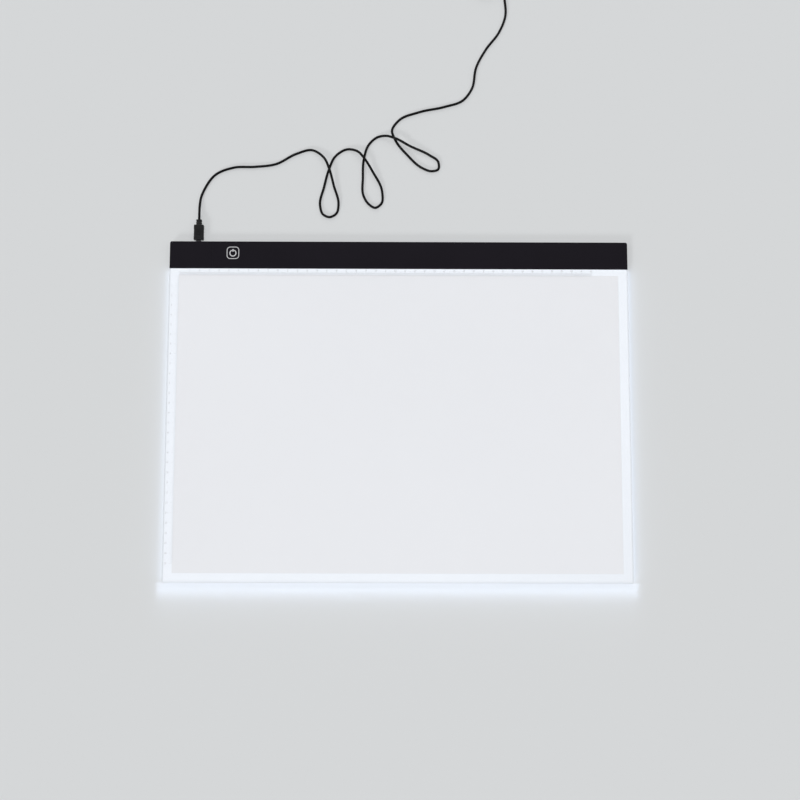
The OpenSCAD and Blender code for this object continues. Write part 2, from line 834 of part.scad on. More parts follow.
// The cord

module cord_run() {
    color([0.05, 0.05, 0.05]) tube(run_path, cord_r, run_sides);
}

module cord_coil() {
    color([0.05, 0.05, 0.05]) tube(coil_path, cord_r, coil_sides);
}

module coil_tie() {
    radii = [for (k = [0 : coil_turns]) let (t = k + tie_angle / 360) if (t <= coil_turns) coil_radius(t)];
    inner_w = max(radii) - min(radii) + cord_dia + 2 * tie_gap;
    inner_h = turn_step + cord_dia + 2 * tie_gap;
    middle_r = (max(radii) + min(radii)) / 2;
    middle = cord_exit + [coil_from[0] - coil_out_r, coil_from[1], coil_z + turn_step / 2];
    color("dimgray") translate(middle) rotate(tie_angle) translate([middle_r, -tie_w / 2, 0]) {
        along_y(tie_w) difference() {
            square([inner_w + 2 * tie_t, inner_h + 2 * tie_t], center = true);
            square([inner_w, inner_h], center = true);
        }
        translate([inner_w / 2 + tie_t, tie_w / 2, 0])
            rotate([0, 90, 0]) cylinder(d = 2 * tie_t, h = tie_twist_l);
    }
}

// The plug at the far end, with the cord's end at the origin

module at_charger() {
    translate(cord_exit + charger_at) rotate(360 * coil_turns) children();
}

charger_face = charger_collar_l + charger_grip_l;

module charger_grip() {
    color([0.13, 0.13, 0.14]) at_charger() {
        collar(collar_w, charger_collar_l + collar_groove, collar_h, collar_groove);
        translate([0, charger_collar_l, 0])
            grip_body(charger_grip_w, charger_grip_l, charger_grip_h, charger_grip_r);
    }
}

module charger_shell() {
    color("silver") at_charger() translate([0, charger_face, 0]) difference() {
        along_y(charger_l) square([charger_w, charger_h], center = true);
        translate([0, -cut, 0]) along_y(charger_l + 2 * cut)
            square([charger_w - 2 * charger_wall, charger_h - 2 * charger_wall], center = true);
        for (s = [-1, 1])
            translate([s * window_side, charger_l - window_in, 0])
                cube([window, window, 2 * charger_h], center = true);
    }
}

// The tongue fills the shell's lower half, and a block closes the shell next to the grip
module charger_tongue() {
    inner_w = charger_w - 2 * charger_wall;
    inner_h = charger_h - 2 * charger_wall;
    block_l = charger_l - window_in - charger_contact_l;
    color("whitesmoke") at_charger() translate([-inner_w / 2, charger_face, -inner_h / 2]) {
        cube([inner_w, charger_l - charger_setback, charger_tongue_t]);
        cube([inner_w, block_l, inner_h]);
    }
}

module charger_contact_set() {
    color("gold") at_charger()
        translate([0, charger_face + charger_l - charger_setback - charger_contact_l,
                   charger_wall - charger_h / 2 + charger_tongue_t])
            contact_row(charger_contacts, charger_pitch,
                        [charger_contact_w, charger_contact_l, charger_contact_t]);
}

back_plate();
rubber_feet();
reflector_sheet();
light_guide();
diffuser_sheet();
cover_tape();
cover_plate();
bar_cover();
bar_end();
power_mark();
light_seal();
led_board();
led_chips();
led_tape();
control_board();
usb_socket_shell();
usb_socket_tongue();
usb_socket_contacts();
touch_foam();
touch_chip();
dimmer_transistor();
board_resistors();
board_capacitors();
feed_wire_red();
feed_wire_black();
bar_screws();
board_screws();
plug_shell();
plug_insert();
plug_contacts();
plug_grip();
cord_run();
cord_coil();
coil_tie();
charger_grip();
charger_shell();
charger_tongue();
charger_contact_set();
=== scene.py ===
"""Dresses the solids of an edge-lit tracing pad: cord, cover, ruler, bar, plugs, finishes and stage."""

import math

import bmesh
import bpy
from bpy.props import FloatProperty, FloatVectorProperty, IntProperty, PointerProperty
from mathutils import Matrix, Vector


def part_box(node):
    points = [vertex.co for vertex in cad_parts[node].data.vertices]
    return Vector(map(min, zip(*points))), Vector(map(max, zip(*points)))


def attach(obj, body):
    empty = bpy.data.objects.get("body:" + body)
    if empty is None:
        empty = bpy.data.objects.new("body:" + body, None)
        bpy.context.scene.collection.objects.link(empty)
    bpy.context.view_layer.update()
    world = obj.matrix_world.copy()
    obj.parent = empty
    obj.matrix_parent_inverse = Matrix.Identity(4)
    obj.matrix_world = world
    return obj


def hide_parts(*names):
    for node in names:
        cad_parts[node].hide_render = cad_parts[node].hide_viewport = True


bl_info = {
    "name": "Edge-lit tracing pad",
    "version": (1, 0, 0),
    "blender": (4, 5, 0),
    "location": "3D View > Sidebar > Tracing pad",
    "description": "Cord, clear cover, ruler, bar, plugs, finishes and stage of an edge-lit tracing pad",
    "category": "Object",
}

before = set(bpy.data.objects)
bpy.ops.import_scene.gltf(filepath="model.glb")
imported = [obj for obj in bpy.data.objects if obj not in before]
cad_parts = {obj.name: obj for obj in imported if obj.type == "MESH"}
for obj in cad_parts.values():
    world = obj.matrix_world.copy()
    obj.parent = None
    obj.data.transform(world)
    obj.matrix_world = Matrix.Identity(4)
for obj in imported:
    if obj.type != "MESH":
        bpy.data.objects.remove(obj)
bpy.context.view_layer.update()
MM = 0.001

# Places that come from the solids

COVER_LOW, COVER_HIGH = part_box("cover_plate")
BAR_LOW, BAR_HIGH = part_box("bar_cover")
END_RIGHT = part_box("bar_end")[1].x
GRIP_LOW, GRIP_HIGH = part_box("plug_grip")
CHARGER_LOW, CHARGER_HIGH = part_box("charger_grip")
HALF_W = COVER_HIGH.x
HALF_D = -COVER_LOW.y
BAR_FRONT = BAR_LOW.y
SEAM_X = BAR_LOW.x
PLUG_X = (GRIP_LOW.x + GRIP_HIGH.x) / 2
PLUG_Z = (GRIP_LOW.z + GRIP_HIGH.z) / 2
CORD_EXIT = Vector((PLUG_X, GRIP_HIGH.y, 0.0))

# The cord, as the solids have it

CORD_DIAMETER = 2.6 * MM
CORD_FALL = 2.2 * MM
CORD_LOW = 1.4 * MM
CORD_RISE = 3.0 * MM
CORD_OVER = 4.6 * MM
COIL_NEAR = 1.8 * MM
COIL_Z = 2.3 * MM
COIL_FROM = Vector((0.314, 0.262, COIL_Z))
COIL_TURNS = 4.25
COIL_STEPS = 24
COIL_OUTER = 17.7 * MM
COIL_CLIMB = 0.5
TURN_STEP = 3.2 * MM
TAIL_LENGTH = 16 * MM
TAIL_STEPS = 6
CHARGER_Z = 4.3 * MM

# Its way over the table: sideways and back from the plug's collar, then height

ROUTE = (
    # Out of the plug
    (0.000, 0.000, PLUG_Z), (0.000, 0.006, PLUG_Z), (0.000, 0.015, CORD_FALL),
    (0.001, 0.024, CORD_LOW), (0.005, 0.034, CORD_LOW), (0.015, 0.048, CORD_LOW),
    (0.034, 0.056, CORD_LOW), (0.056, 0.057, CORD_LOW), (0.078, 0.060, CORD_LOW),
    (0.099, 0.071, CORD_LOW), (0.115, 0.075, CORD_LOW),
    # First loop
    (0.128, 0.066, CORD_RISE), (0.133, 0.055, CORD_OVER), (0.138, 0.037, CORD_RISE),
    (0.143, 0.017, CORD_LOW), (0.141, 0.008, CORD_LOW), (0.134, 0.004, CORD_LOW),
    (0.127, 0.007, CORD_LOW), (0.124, 0.016, CORD_LOW), (0.128, 0.036, CORD_LOW),
    (0.133, 0.055, CORD_LOW), (0.139, 0.068, CORD_LOW), (0.152, 0.076, CORD_LOW),
    # Second loop
    (0.163, 0.073, CORD_RISE), (0.169, 0.066, CORD_OVER), (0.178, 0.052, CORD_RISE),
    (0.188, 0.031, CORD_LOW), (0.187, 0.018, CORD_LOW), (0.181, 0.014, CORD_LOW),
    (0.174, 0.018, CORD_LOW), (0.169, 0.026, CORD_LOW), (0.168, 0.046, CORD_LOW),
    (0.169, 0.066, CORD_LOW), (0.174, 0.081, CORD_LOW), (0.183, 0.089, CORD_LOW),
    # Third loop
    (0.192, 0.090, CORD_RISE), (0.201, 0.087, CORD_OVER), (0.217, 0.079, CORD_RISE),
    (0.237, 0.070, CORD_LOW), (0.246, 0.063, CORD_LOW), (0.246, 0.055, CORD_LOW),
    (0.239, 0.053, CORD_LOW), (0.230, 0.056, CORD_LOW), (0.214, 0.070, CORD_LOW),
    (0.201, 0.087, CORD_LOW), (0.198, 0.096, CORD_LOW), (0.205, 0.107, CORD_LOW),
    # Away to the coil
    (0.226, 0.116, CORD_LOW), (0.253, 0.122, CORD_LOW), (0.272, 0.129, CORD_LOW),
    (0.281, 0.141, CORD_LOW), (0.286, 0.165, CORD_LOW), (0.296, 0.184, CORD_LOW),
    (0.310, 0.203, CORD_LOW), (0.317, 0.222, CORD_LOW), (0.316, 0.240, COIL_NEAR),
    (COIL_FROM.x, 0.253, COIL_Z), (COIL_FROM.x, COIL_FROM.y - CORD_DIAMETER, COIL_Z),
)


# Properties of the same kind


def colour_property(name, description, default):
    """A colour."""
    return FloatVectorProperty(name=name, description=description, subtype="COLOR", default=default)


def length_property(name, description, default, low, high):
    """A length between two limits."""
    return FloatProperty(
        name=name, description=description, unit="LENGTH", default=default, min=low, max=high
    )


def share_property(name, description, default):
    """A part of a whole."""
    return FloatProperty(
        name=name, description=description, subtype="FACTOR", default=default, min=0.0, max=1.0
    )


def power_property(name, description, default):
    """The power of a small lamp, up to one watt."""
    return FloatProperty(
        name=name, description=description, unit="POWER", default=default, min=0.0, max=1.0
    )


# Sizes and colours that a user would change


class TracingPadLight(bpy.types.PropertyGroup):
    """Light of the panel and its edges."""

    panel: colour_property("Panel", "Light that the frosted sheet gives off", (0.522, 0.528, 0.552))
    border: colour_property(
        "Border", "Light of the clear border around the frosted sheet", (0.588, 0.622, 0.674)
    )
    edge: colour_property(
        "Edge", "Colour of the light that leaves through the edges of the clear plates", (0.66, 0.78, 1.0)
    )


class TracingPadBody(bpy.types.PropertyGroup):
    """Sizes and colours of the bar, the key, the ruler and the cover."""

    bar: colour_property("Bar", "Colour of the black control bar", (0.0026, 0.0013, 0.0043))
    key_print: colour_property("Key print", "Colour of the printed power key", (0.64, 0.64, 0.66))
    ruler_ink: colour_property("Ruler ink", "Colour of the printed ruler", (0.40, 0.40, 0.41))
    bar_round: length_property(
        "Bar rounding", "Rounding of the bar's upper edges", 0.15 * MM, 0.1 * MM, 0.9 * MM
    )
    cover_round: length_property(
        "Cover rounding", "Rounding of the cover plate's upper edges", 0.25 * MM, 0.05 * MM, 0.4 * MM
    )
    ruler_width: IntProperty(
        name="Ruler along the back",
        description="Length of the ruler along the back, in centimetres",
        default=42,
        min=10,
        max=44,
    )
    ruler_depth: IntProperty(
        name="Ruler on the left",
        description="Length of the ruler down the left side, in centimetres",
        default=29,
        min=10,
        max=30,
    )
    tick_width: length_property(
        "Tick width", "Line width of the ruler's ticks", 0.16 * MM, 0.08 * MM, 0.3 * MM
    )
    digit_height: length_property(
        "Digit height", "Height of the ruler's numbers", 1.8 * MM, 1.0 * MM, 2.4 * MM
    )


class TracingPadLead(bpy.types.PropertyGroup):
    """Sizes and colours of the lead."""

    cord: colour_property("Cord", "Colour of the cord's sheath", (0.0022, 0.0022, 0.0024))
    grip: colour_property("Grips", "Colour of the moulded grips", (0.0055, 0.0055, 0.0060))
    diameter: length_property(
        "Cord diameter", "Diameter of the cord", CORD_DIAMETER, 2.0 * MM, 3.0 * MM
    )


class TracingPadStage(bpy.types.PropertyGroup):
    """Floor, lights and camera."""

    floor: colour_property("Floor", "Colour of the pale floor", (0.665, 0.679, 0.687))
    side_light: share_property(
        "Side lights",
        "Share of the floor's light that comes from each of the two soft lamps at the sides",
        0.11,
    )
    back_light: share_property(
        "Back light", "Share of the floor's light that comes from the soft lamp behind the object", 0.26
    )
    key_light: share_property(
        "Key light", "Share of the floor's light that comes from the small key lamp", 0.26
    )
    room_light: share_property(
        "Room light", "Share of the floor's light that comes from all around", 0.26
    )
    backdrop: share_property(
        "Backdrop", "Part of the floor's colour that is seen without light or shade", 0.64
    )
    beam: power_property(
        "Front beam", "Power of the flat beam that the front edge throws on the floor", 0.0238
    )
    front_glow: power_property(
        "Front glow", "Power of the soft light that the front edge gives the floor close by", 0.032
    )
    left_glow: power_property(
        "Left glow", "Power of the soft light that the left edge gives the floor close by", 0.0138
    )
    right_glow: power_property(
        "Right glow", "Power of the soft light that the right edge gives the floor close by", 0.0185
    )
    lens: FloatProperty(
        name="Lens",
        description="Focal length of the camera, on a sensor 36 mm wide",
        subtype="DISTANCE_CAMERA",
        default=42.05,
        min=10.0,
        max=200.0,
    )


# Shader arithmetic


class Wire:
    """A value in a material that takes part in sums: each operation adds a Math node."""

    def __init__(self, finish, socket):
        self.finish = finish
        self.socket = socket

    def _math(self, operation, first, second=0.0):
        return self.finish.node("ShaderNodeMath", {"operation": operation}, {0: first, 1: second})

    def __add__(self, other):
        return self._math("ADD", self, other)

    def __radd__(self, other):
        return self._math("ADD", other, self)

    def __sub__(self, other):
        return self._math("SUBTRACT", self, other)

    def __rsub__(self, other):
        return self._math("SUBTRACT", other, self)

    def __mul__(self, other):
        return self._math("MULTIPLY", self, other)

    def __rmul__(self, other):
        return self._math("MULTIPLY", other, self)

    def __neg__(self):
        return self._math("MULTIPLY", self, -1.0)

    def __abs__(self):
        return self._math("ABSOLUTE", self)

    def __or__(self, other):
        return self._math("MAXIMUM", self, other)


class Nodes:
    """The nodes of a material or a world, and one way to add any of them."""

    def __init__(self, owner, output):
        owner.use_nodes = True
        self.tree = owner.node_tree
        self.tree.nodes.clear()
        self.output = self.tree.nodes.new(output)

    def _feed(self, socket, value):
        if isinstance(value, Wire):
            self.tree.links.new(value.socket, socket)
        elif socket.type == "RGBA" and len(value) == 3:
            socket.default_value = (*value, 1.0)
        else:
            socket.default_value = value

    def node(self, kind, settings, inputs, output=0):
        """Adds a node: its settings first, then the values or links of its sockets."""
        made = self.tree.nodes.new(kind)
        for name, value in settings.items():
            setattr(made, name, value)
        for name, value in inputs.items():
            self._feed(made.inputs[name], value)
        return Wire(self, made.outputs[output])

    def show(self, shader):
        """Makes a shader the one that is seen."""
        self._feed(self.output.inputs["Surface"], shader)

    def seen(self):
        """1 for what the camera sees, in a mirror or through glass too, and 0 for light on its way."""
        camera = self.node("ShaderNodeLightPath", {}, {}, "Is Camera Ray")
        paths = camera.socket.node.outputs
        return camera | Wire(self, paths["Is Glossy Ray"]) | Wire(self, paths["Is Transmission Ray"])


EVEN = (1.0, 1.0, 1.0)


class Finish(Nodes):
    """A material in the making."""

    def __init__(self, name, constants):
        self.material = bpy.data.materials.new(name)
        super().__init__(self.material, "ShaderNodeOutputMaterial")
        self.shader = self.node("ShaderNodeBsdfPrincipled", {}, constants)
        self.show(self.shader)

    def surface(self, values):
        """Sets or links sockets of the shader."""
        for name, value in values.items():
            self._feed(self.shader.socket.node.inputs[name], value)
        return self

    def place(self, stretch=EVEN):
        """The point on the piece, in metres, stretched along the axes."""
        point = self.node("ShaderNodeTexCoord", {}, {}, "Object")
        return self.node("ShaderNodeVectorMath", {"operation": "MULTIPLY"}, {0: point, 1: stretch})

    def axes(self, vector):
        """The three parts of a vector."""
        parts = self.node("ShaderNodeSeparateXYZ", {}, {0: vector})
        return tuple(Wire(self, output) for output in parts.socket.node.outputs)

    def facing(self):
        """The three parts of the direction that the surface faces."""
        return self.axes(self.node("ShaderNodeTexCoord", {}, {}, "Normal"))

    def noise(self, scale, detail=2.0, stretch=EVEN):
        """Soft clouds, so many to the metre."""
        inputs = {"Vector": self.place(stretch), "Scale": scale, "Detail": detail}
        return self.node("ShaderNodeTexNoise", {}, inputs)

    def cells(self, scale):
        """Round cells, so many to the metre."""
        return self.node("ShaderNodeTexVoronoi", {}, {"Vector": self.place(), "Scale": scale})

    def between(self, value, low, high):
        """Turns a value into 0 below low and 1 above high."""
        return self.node("ShaderNodeMapRange", {}, {0: value, 1: low, 2: high})

    def tint(self, mask, first, second):
        """A colour that goes from the first to the second with the mask."""
        return self.node("ShaderNodeMix", {"data_type": "RGBA"}, {0: mask, 6: first, 7: second}, 2)

    def tones(self, mask, colour, low, high):
        """A colour that goes from one level of itself to another with the mask."""
        return self.tint(mask, shade(colour, low), shade(colour, high))

    def relief(self, height, strength, depth):
        """Raises the surface by a height."""
        inputs = {"Strength": strength, "Distance": depth, "Height": height}
        return self.surface({"Normal": self.node("ShaderNodeBump", {}, inputs)})


def shade(colour, level):
    """A colour made lighter or darker."""
    return tuple(part * level for part in colour)


def swing(clouds, amount):
    """The change, up or down, that clouds make to a level."""
    return amount * (clouds - 0.5)


# Finishes

ALONG_PLUG = (1.0, 0.1, 1.0)
ALONG_SCREW = (1.0, 1.0, 0.2)
SAW_CUT = (1.0, 1.0, 0.1)
WIPED = (0.15, 3.0, 1.0)
CLEAR_OVER_WHITE = (0.3, 0.302, 0.308)


def moulded(name, colour, roughness, grain, depth=0.02 * MM, specular=0.5, spread=0.25):
    """A moulded plastic or rubber: two close tones in soft patches, and the grain of its tool."""
    finish = Finish(name, {"Specular IOR Level": specular})
    patches = finish.noise(16.0, detail=3.0)
    fine = finish.noise(grain)
    finish.surface({
        "Base Color": finish.tones(patches, colour, 1.0 - spread, 1.0 + spread),
        "Roughness": roughness + swing(fine, 0.16) + swing(patches, 0.1),
    })
    return finish.relief(fine, strength=0.3, depth=depth).material


def plated(name, colour, roughness, stretch):
    """A plated metal with fine marks along one direction, and faint stains."""
    finish = Finish(name, {"Metallic": 1.0})
    marks = finish.noise(900.0, detail=3.0, stretch=stretch)
    stains = finish.noise(140.0, detail=3.0)
    finish.surface({
        "Base Color": finish.tones(stains, colour, 0.82, 1.0),
        "Roughness": roughness + swing(marks, 0.2) + swing(stains, 0.12),
    })
    return finish.relief(marks, strength=0.15, depth=0.01 * MM).material


def shell_with_painted_shade():
    """Nickel on the pad's plug: painted shade makes the broad faces of its neck dark, and it is bright
    nickel elsewhere.
    """
    neck_half = 2.4 * MM
    neck_length = 2.6 * MM
    blur = 0.15 * MM
    finish = Finish("shell_with_painted_shade", {"Metallic": 1.0})
    x, y, _ = finish.axes(finish.place())
    # Mask of the painted shade: 0 on the broad faces of the neck, which are painted dark, and 1 elsewhere,
    # where the nickel shows its own colour.
    outside_painted_shade = finish.between(abs(x - PLUG_X), neck_half, neck_half + blur)
    outside_painted_shade = outside_painted_shade | finish.between(GRIP_LOW.y - y, neck_length, neck_length + blur)
    marks = finish.noise(900.0, detail=3.0, stretch=ALONG_PLUG)
    finish.surface({
        # The dark tone is painted shade; the light tone is the nickel's own colour.
        "Base Color": finish.tint(outside_painted_shade, (0.05, 0.048, 0.05), (0.4, 0.4, 0.41)),
        "Roughness": 0.38 + swing(marks, 0.2),
    })
    return finish.relief(marks, strength=0.15, depth=0.01 * MM).material


def foam(name, colour, pore):
    """An open foam with dark pores."""
    finish = Finish(name, {"Roughness": 0.9, "Specular IOR Level": 0.2})
    pores = finish.cells(pore)
    finish.surface({"Base Color": finish.tones(pores, colour, 0.4, 1.3)})
    return finish.relief(pores, strength=0.6, depth=0.15 * MM).material


def ceramic_body(name, colour):
    """A fired ceramic body with a cloudy glaze."""
    finish = Finish(name, {"Coat Weight": 0.4})
    clouds = finish.noise(700.0, detail=4.0)
    finish.surface({
        "Base Color": finish.tones(clouds, colour, 0.7, 1.2),
        "Roughness": 0.35 + swing(clouds, 0.2),
    })
    return finish.relief(clouds, strength=0.2, depth=0.02 * MM).material


def lit(name, roughness, specular=0.5, strength=1.0):
    """The start of a clear or frosted finish that gives off light."""
    return Finish(
        name,
        {
            "Base Color": CLEAR_OVER_WHITE,
            "Roughness": roughness,
            "Specular IOR Level": specular,
            "Emission Strength": strength,
        },
    )


def frosted_sheet(light):
    """The lit diffuser: an even glow with faint clouds, and the tooth of frosted film."""
    finish = lit("frosted_sheet", roughness=0.7, specular=0.05)
    clouds = finish.noise(3.2, detail=1.0)
    tooth = finish.noise(2600.0)
    finish.surface({"Emission Color": finish.tones(clouds, light.panel, 0.97, 1.02)})
    return finish.relief(tooth, strength=0.2, depth=0.02 * MM).material


def lit_border(light):
    """The clear tape over the lit guide: brightest at the bar, dimmer at the far corner and the rim."""
    side_from = HALF_W - 1.3 * MM
    side_to = HALF_W - 0.5 * MM
    front_from = HALF_D - 2.0 * MM
    front_to = HALF_D - 0.8 * MM
    front_share = 0.3
    bar_from = BAR_FRONT - 2.6 * MM
    bar_to = BAR_FRONT - 0.6 * MM
    finish = lit("lit_border", roughness=0.5, specular=0.2)
    x, y, _ = finish.axes(finish.place())
    rim = finish.between(abs(x), side_from, side_to)
    rim = rim | finish.between(-y, front_from, front_to) * front_share
    bar_light = finish.between(y, bar_from, bar_to)
    far_corner = finish.between(x - y, HALF_W, HALF_W + HALF_D)
    streaks = finish.noise(60.0)
    glow = finish.tones(streaks, light.border, 0.97, 1.03)
    glow = finish.tint(bar_light, glow, shade(light.border, 1.18))
    glow = finish.tint(far_corner, glow, shade(light.border, 0.935))
    finish.surface({"Emission Color": finish.tint(rim, glow, shade(light.border, 0.73))})
    return finish.relief(finish.noise(900.0), strength=0.1, depth=0.02 * MM).material


def lit_guide(light):
    """The clear light guide, whose sawn edges glow."""
    finish = lit("lit_guide", roughness=0.25, strength=0.8)
    across, along, _ = finish.facing()
    sawn = finish.between(abs(across) | -along, 0.3, 0.8)
    saw = finish.noise(420.0, stretch=SAW_CUT)
    finish.surface({"Emission Color": finish.tint(sawn * (0.6 + 0.8 * saw), light.border, light.edge)})
    return finish.relief(saw, strength=0.2, depth=0.03 * MM).material


def clear_cover():
    """The clear cover plate: see-through on its face, with hairline marks, and hazy at its edges."""
    finish = Finish("clear_cover", {"Base Color": (0.8, 0.84, 0.88), "IOR": 1.49})
    _, _, up = finish.facing()
    edge = 1.0 - finish.between(abs(up), 0.2, 0.95)
    hairlines = finish.noise(160.0, detail=4.0, stretch=WIPED)
    finish.surface({
        "Alpha": 0.06 + 0.4 * edge,
        "Roughness": 0.34 + 0.14 * finish.between(hairlines, 0.6, 0.75),
    })
    return finish.relief(hairlines, strength=0.05, depth=0.01 * MM).material


def printed(name, colour):
    """A screen print with the slight unevenness of its ink."""
    finish = Finish(name, {"Specular IOR Level": 0.3})
    ink = finish.noise(1800.0, detail=3.0)
    finish.surface({
        "Base Color": finish.tones(ink, colour, 0.85, 1.1),
        "Roughness": 0.5 + swing(ink, 0.2),
    })
    return finish.relief(ink, strength=0.2, depth=0.01 * MM).material


def circuit_laminate():
    """Green solder mask with tracks that show through it."""
    finish = Finish("circuit_laminate", {"Coat Weight": 0.3})
    tracks = finish.node(
        "ShaderNodeTexBrick",
        {"offset": 0.5},
        {"Vector": finish.place(), "Scale": 160.0, "Mortar Size": 0.03, "Mortar Smooth": 0.3},
        "Fac",
    )
    weave = finish.noise(1600.0)
    mask = finish.tint(weave, (0.008, 0.075, 0.03), (0.012, 0.1, 0.042))
    finish.surface({
        "Base Color": finish.tint(tracks, mask, (0.03, 0.2, 0.09)),
        "Roughness": 0.3 + swing(weave, 0.15),
    })
    return finish.relief(tracks, strength=0.3, depth=0.03 * MM).material


def emitter_resin():
    """Yellow phosphor resin in a white case, lit."""
    finish = Finish("emitter_resin", {"Roughness": 0.3, "Emission Strength": 2.0})
    grains = finish.noise(2200.0, detail=3.0)
    _, along, _ = finish.facing()
    window = finish.between(-along, 0.6, 0.9)
    resin = finish.tint(grains, (0.85, 0.7, 0.2), (0.95, 0.82, 0.32))
    finish.surface({
        "Base Color": finish.tint(window, (0.85, 0.85, 0.83), resin),
        "Emission Color": finish.tint(window, (0.0, 0.0, 0.0), (1.0, 0.95, 0.85)),
    })
    return finish.relief(grains, strength=0.2, depth=0.02 * MM).material


def cord_sheath(colour):
    """A satin sheath with a fine skin, a little dust and scuffs."""
    finish = Finish("cord_sheath", {"Specular IOR Level": 0.09})
    dust = finish.between(finish.noise(480.0, detail=4.0), 0.58, 0.78)
    skin = finish.noise(2400.0)
    finish.surface({
        "Base Color": finish.tones(dust, colour, 1.0, 2.2),
        "Roughness": 0.42 + swing(skin, 0.2) + 0.2 * dust,
    })
    return finish.relief(skin, strength=0.25, depth=0.02 * MM).material


# Shapes

WELD = 0.002 * MM
TOUCH = 0.01 * MM
FLAT = math.radians(0.5)
SHARP = math.radians(35.0)


def near(value, goal):
    """Tells if a measure is where it should be."""
    return abs(value - goal) < TOUCH


def at_height(z):
    """A way to pick the edges that lie at one height."""
    return lambda a, b: near(a.z, z) and near(b.z, z)


def link(name, data):
    """Puts a new object in the scene."""
    made = bpy.data.objects.new(name, data)
    bpy.context.scene.collection.objects.link(made)
    return made


def mesh_from(shape, name):
    """Turns a bmesh into a mesh that is smooth apart from its sharp edges."""
    bmesh.ops.recalc_face_normals(shape, faces=shape.faces)
    mesh = bpy.data.meshes.new(name)
    shape.to_mesh(mesh)
    shape.free()
    mesh.shade_smooth()
    mesh.set_sharp_from_angle(angle=SHARP)
    return mesh


def add_piece(name, data, body, finish, stands_for=()):
    """Links a piece that rides on a body, with its finish, in place of the named solids."""
    piece = link(name, data)
    data.materials.append(finish)
    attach(piece, body)
    if stands_for:
        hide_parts(*stands_for)
    if piece.type == "MESH":
        flat = piece.modifiers.new("flat_faces", "WEIGHTED_NORMAL")
        flat.keep_sharp = True
    return piece


def dress(finish, *nodes):
    """Gives solids their finish."""
    for node in nodes:
        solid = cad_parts[node]
        if not solid.material_slots:
            solid.data.materials.append(finish)
        for slot in solid.material_slots:
            slot.material = finish


def softened(node, name, width, segments, pick):
    """A copy of a solid's mesh with the picked outer edges rounded."""
    shape = bmesh.new()
    shape.from_mesh(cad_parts[node].data)
    bmesh.ops.remove_doubles(shape, verts=shape.verts, dist=WELD)
    bmesh.ops.dissolve_limit(shape, angle_limit=FLAT, verts=shape.verts, edges=shape.edges)
    edges = []
    for edge in shape.edges:
        if len(edge.link_faces) == 2 and edge.is_convex and edge.calc_face_angle() > SHARP:
            if pick(edge.verts[0].co, edge.verts[1].co):
                edges.append(edge)
    if not edges:
        raise RuntimeError(f"{node} has no edge to round")
    bmesh.ops.bevel(
        shape,
        geom=edges,
        offset=width,
        segments=segments,
        profile=0.5,
        affect="EDGES",
        clamp_overlap=True,
    )
    return mesh_from(shape, name)


def rounded_ring(width, height, radius, steps=5):
    """Points of a rounded rectangle around the middle."""
    points = []
    for quarter, (right, up) in enumerate(((1, 1), (-1, 1), (-1, -1), (1, -1))):
        x = right * (width / 2 - radius)
        y = up * (height / 2 - radius)
        for step in range(steps + 1):
            angle = math.radians(90 * quarter + 90 * step / steps)
            points.append((x + radius * math.cos(angle), y + radius * math.sin(angle)))
    return points


def add_loft(shape, rings, closed=False):
    """Skins a row of rings of points, with a face over each end unless the row is closed."""
    rows = [[shape.verts.new(point) for point in ring] for ring in rings]
    pairs = list(zip(rows, rows[1:]))
    if closed:
        pairs.append((rows[-1], rows[0]))
    for first, second in pairs:
        for i, vertex in enumerate(first):
            j = (i + 1) % len(first)
            shape.faces.new((vertex, first[j], second[j], second[i]))
    if not closed:
        shape.faces.new(rows[0])
        shape.faces.new(rows[-1])


def add_box(shape, low, high):
    """A block between two corners."""
    corners = ((low[0], low[1]), (high[0], low[1]), (high[0], high[1]), (low[0], high[1]))
    add_loft(shape, [[(x, y, z) for x, y in corners] for z in (low[2], high[2])])


def add_tube(shape, points, radius, sides):
    """A round tube along a list of points."""
    rings = []
    for i, point in enumerate(points):
        ahead = (points[min(i + 1, len(points) - 1)] - points[max(i - 1, 0)]).normalized()
        side = ahead.cross(Vector((0.0, 0.0, 1.0))).normalized()
        up = side.cross(ahead)
        ring = []
        for k in range(sides):
            angle = 2 * math.pi * k / sides
            ring.append(point + radius * (math.cos(angle) * side + math.sin(angle) * up))
        rings.append(ring)
    add_loft(shape, rings)


# Cord and coil


def heading(points, i):
    """Direction of a smooth line at one of its points, weighted by the distances to its neighbours."""
    if i == 0:
        return (points[1] - points[0]).normalized()
    if i == len(points) - 1:
        return (points[-1] - points[-2]).normalized()
    before = points[i] - points[i - 1]
    after = points[i + 1] - points[i]
    a = before.length
    b = after.length
    return (before / a * b + after / b * a) / (a + b)


def ease(t):
    """Goes from 0 to 1 with a slow start and a slow end."""
    return t * t * (3.0 - 2.0 * t)


def coil_radius(turn):
    """How far out the cord lies at a turn of the coil."""
    return COIL_OUTER - TURN_STEP * min(turn, COIL_TURNS - turn)


def coil_point(turn):
    """A point of the coil, which winds in on the table and out again on top of itself."""
    climbed = (turn - COIL_TURNS / 2 + COIL_CLIMB / 2) / COIL_CLIMB
    angle = 2 * math.pi * turn
    radius = coil_radius(turn)
    return Vector(
        (
            COIL_FROM.x - COIL_OUTER + radius * math.cos(angle),
            COIL_FROM.y + radius * math.sin(angle),
            COIL_Z + TURN_STEP * ease(min(1.0, max(0.0, climbed))),
        )
    )


def cord_points():
    """The cord's whole way, from the plug's collar to the charger plug's."""
    points = [Vector(point) for point in ROUTE]
    points += [coil_point(i / COIL_STEPS) for i in range(int(COIL_TURNS * COIL_STEPS) + 1)]
    end = points[-1]
    for i in range(1, TAIL_STEPS + 1):
        part = i / TAIL_STEPS
        height = end.z + (CHARGER_Z - end.z) * ease(part)
        points.append(Vector((end.x - TAIL_LENGTH * part, end.y, height)))
    points.append(points[-1] - Vector((CORD_DIAMETER, 0.0, 0.0)))
    return [CORD_EXIT + point for point in points]


# Operators


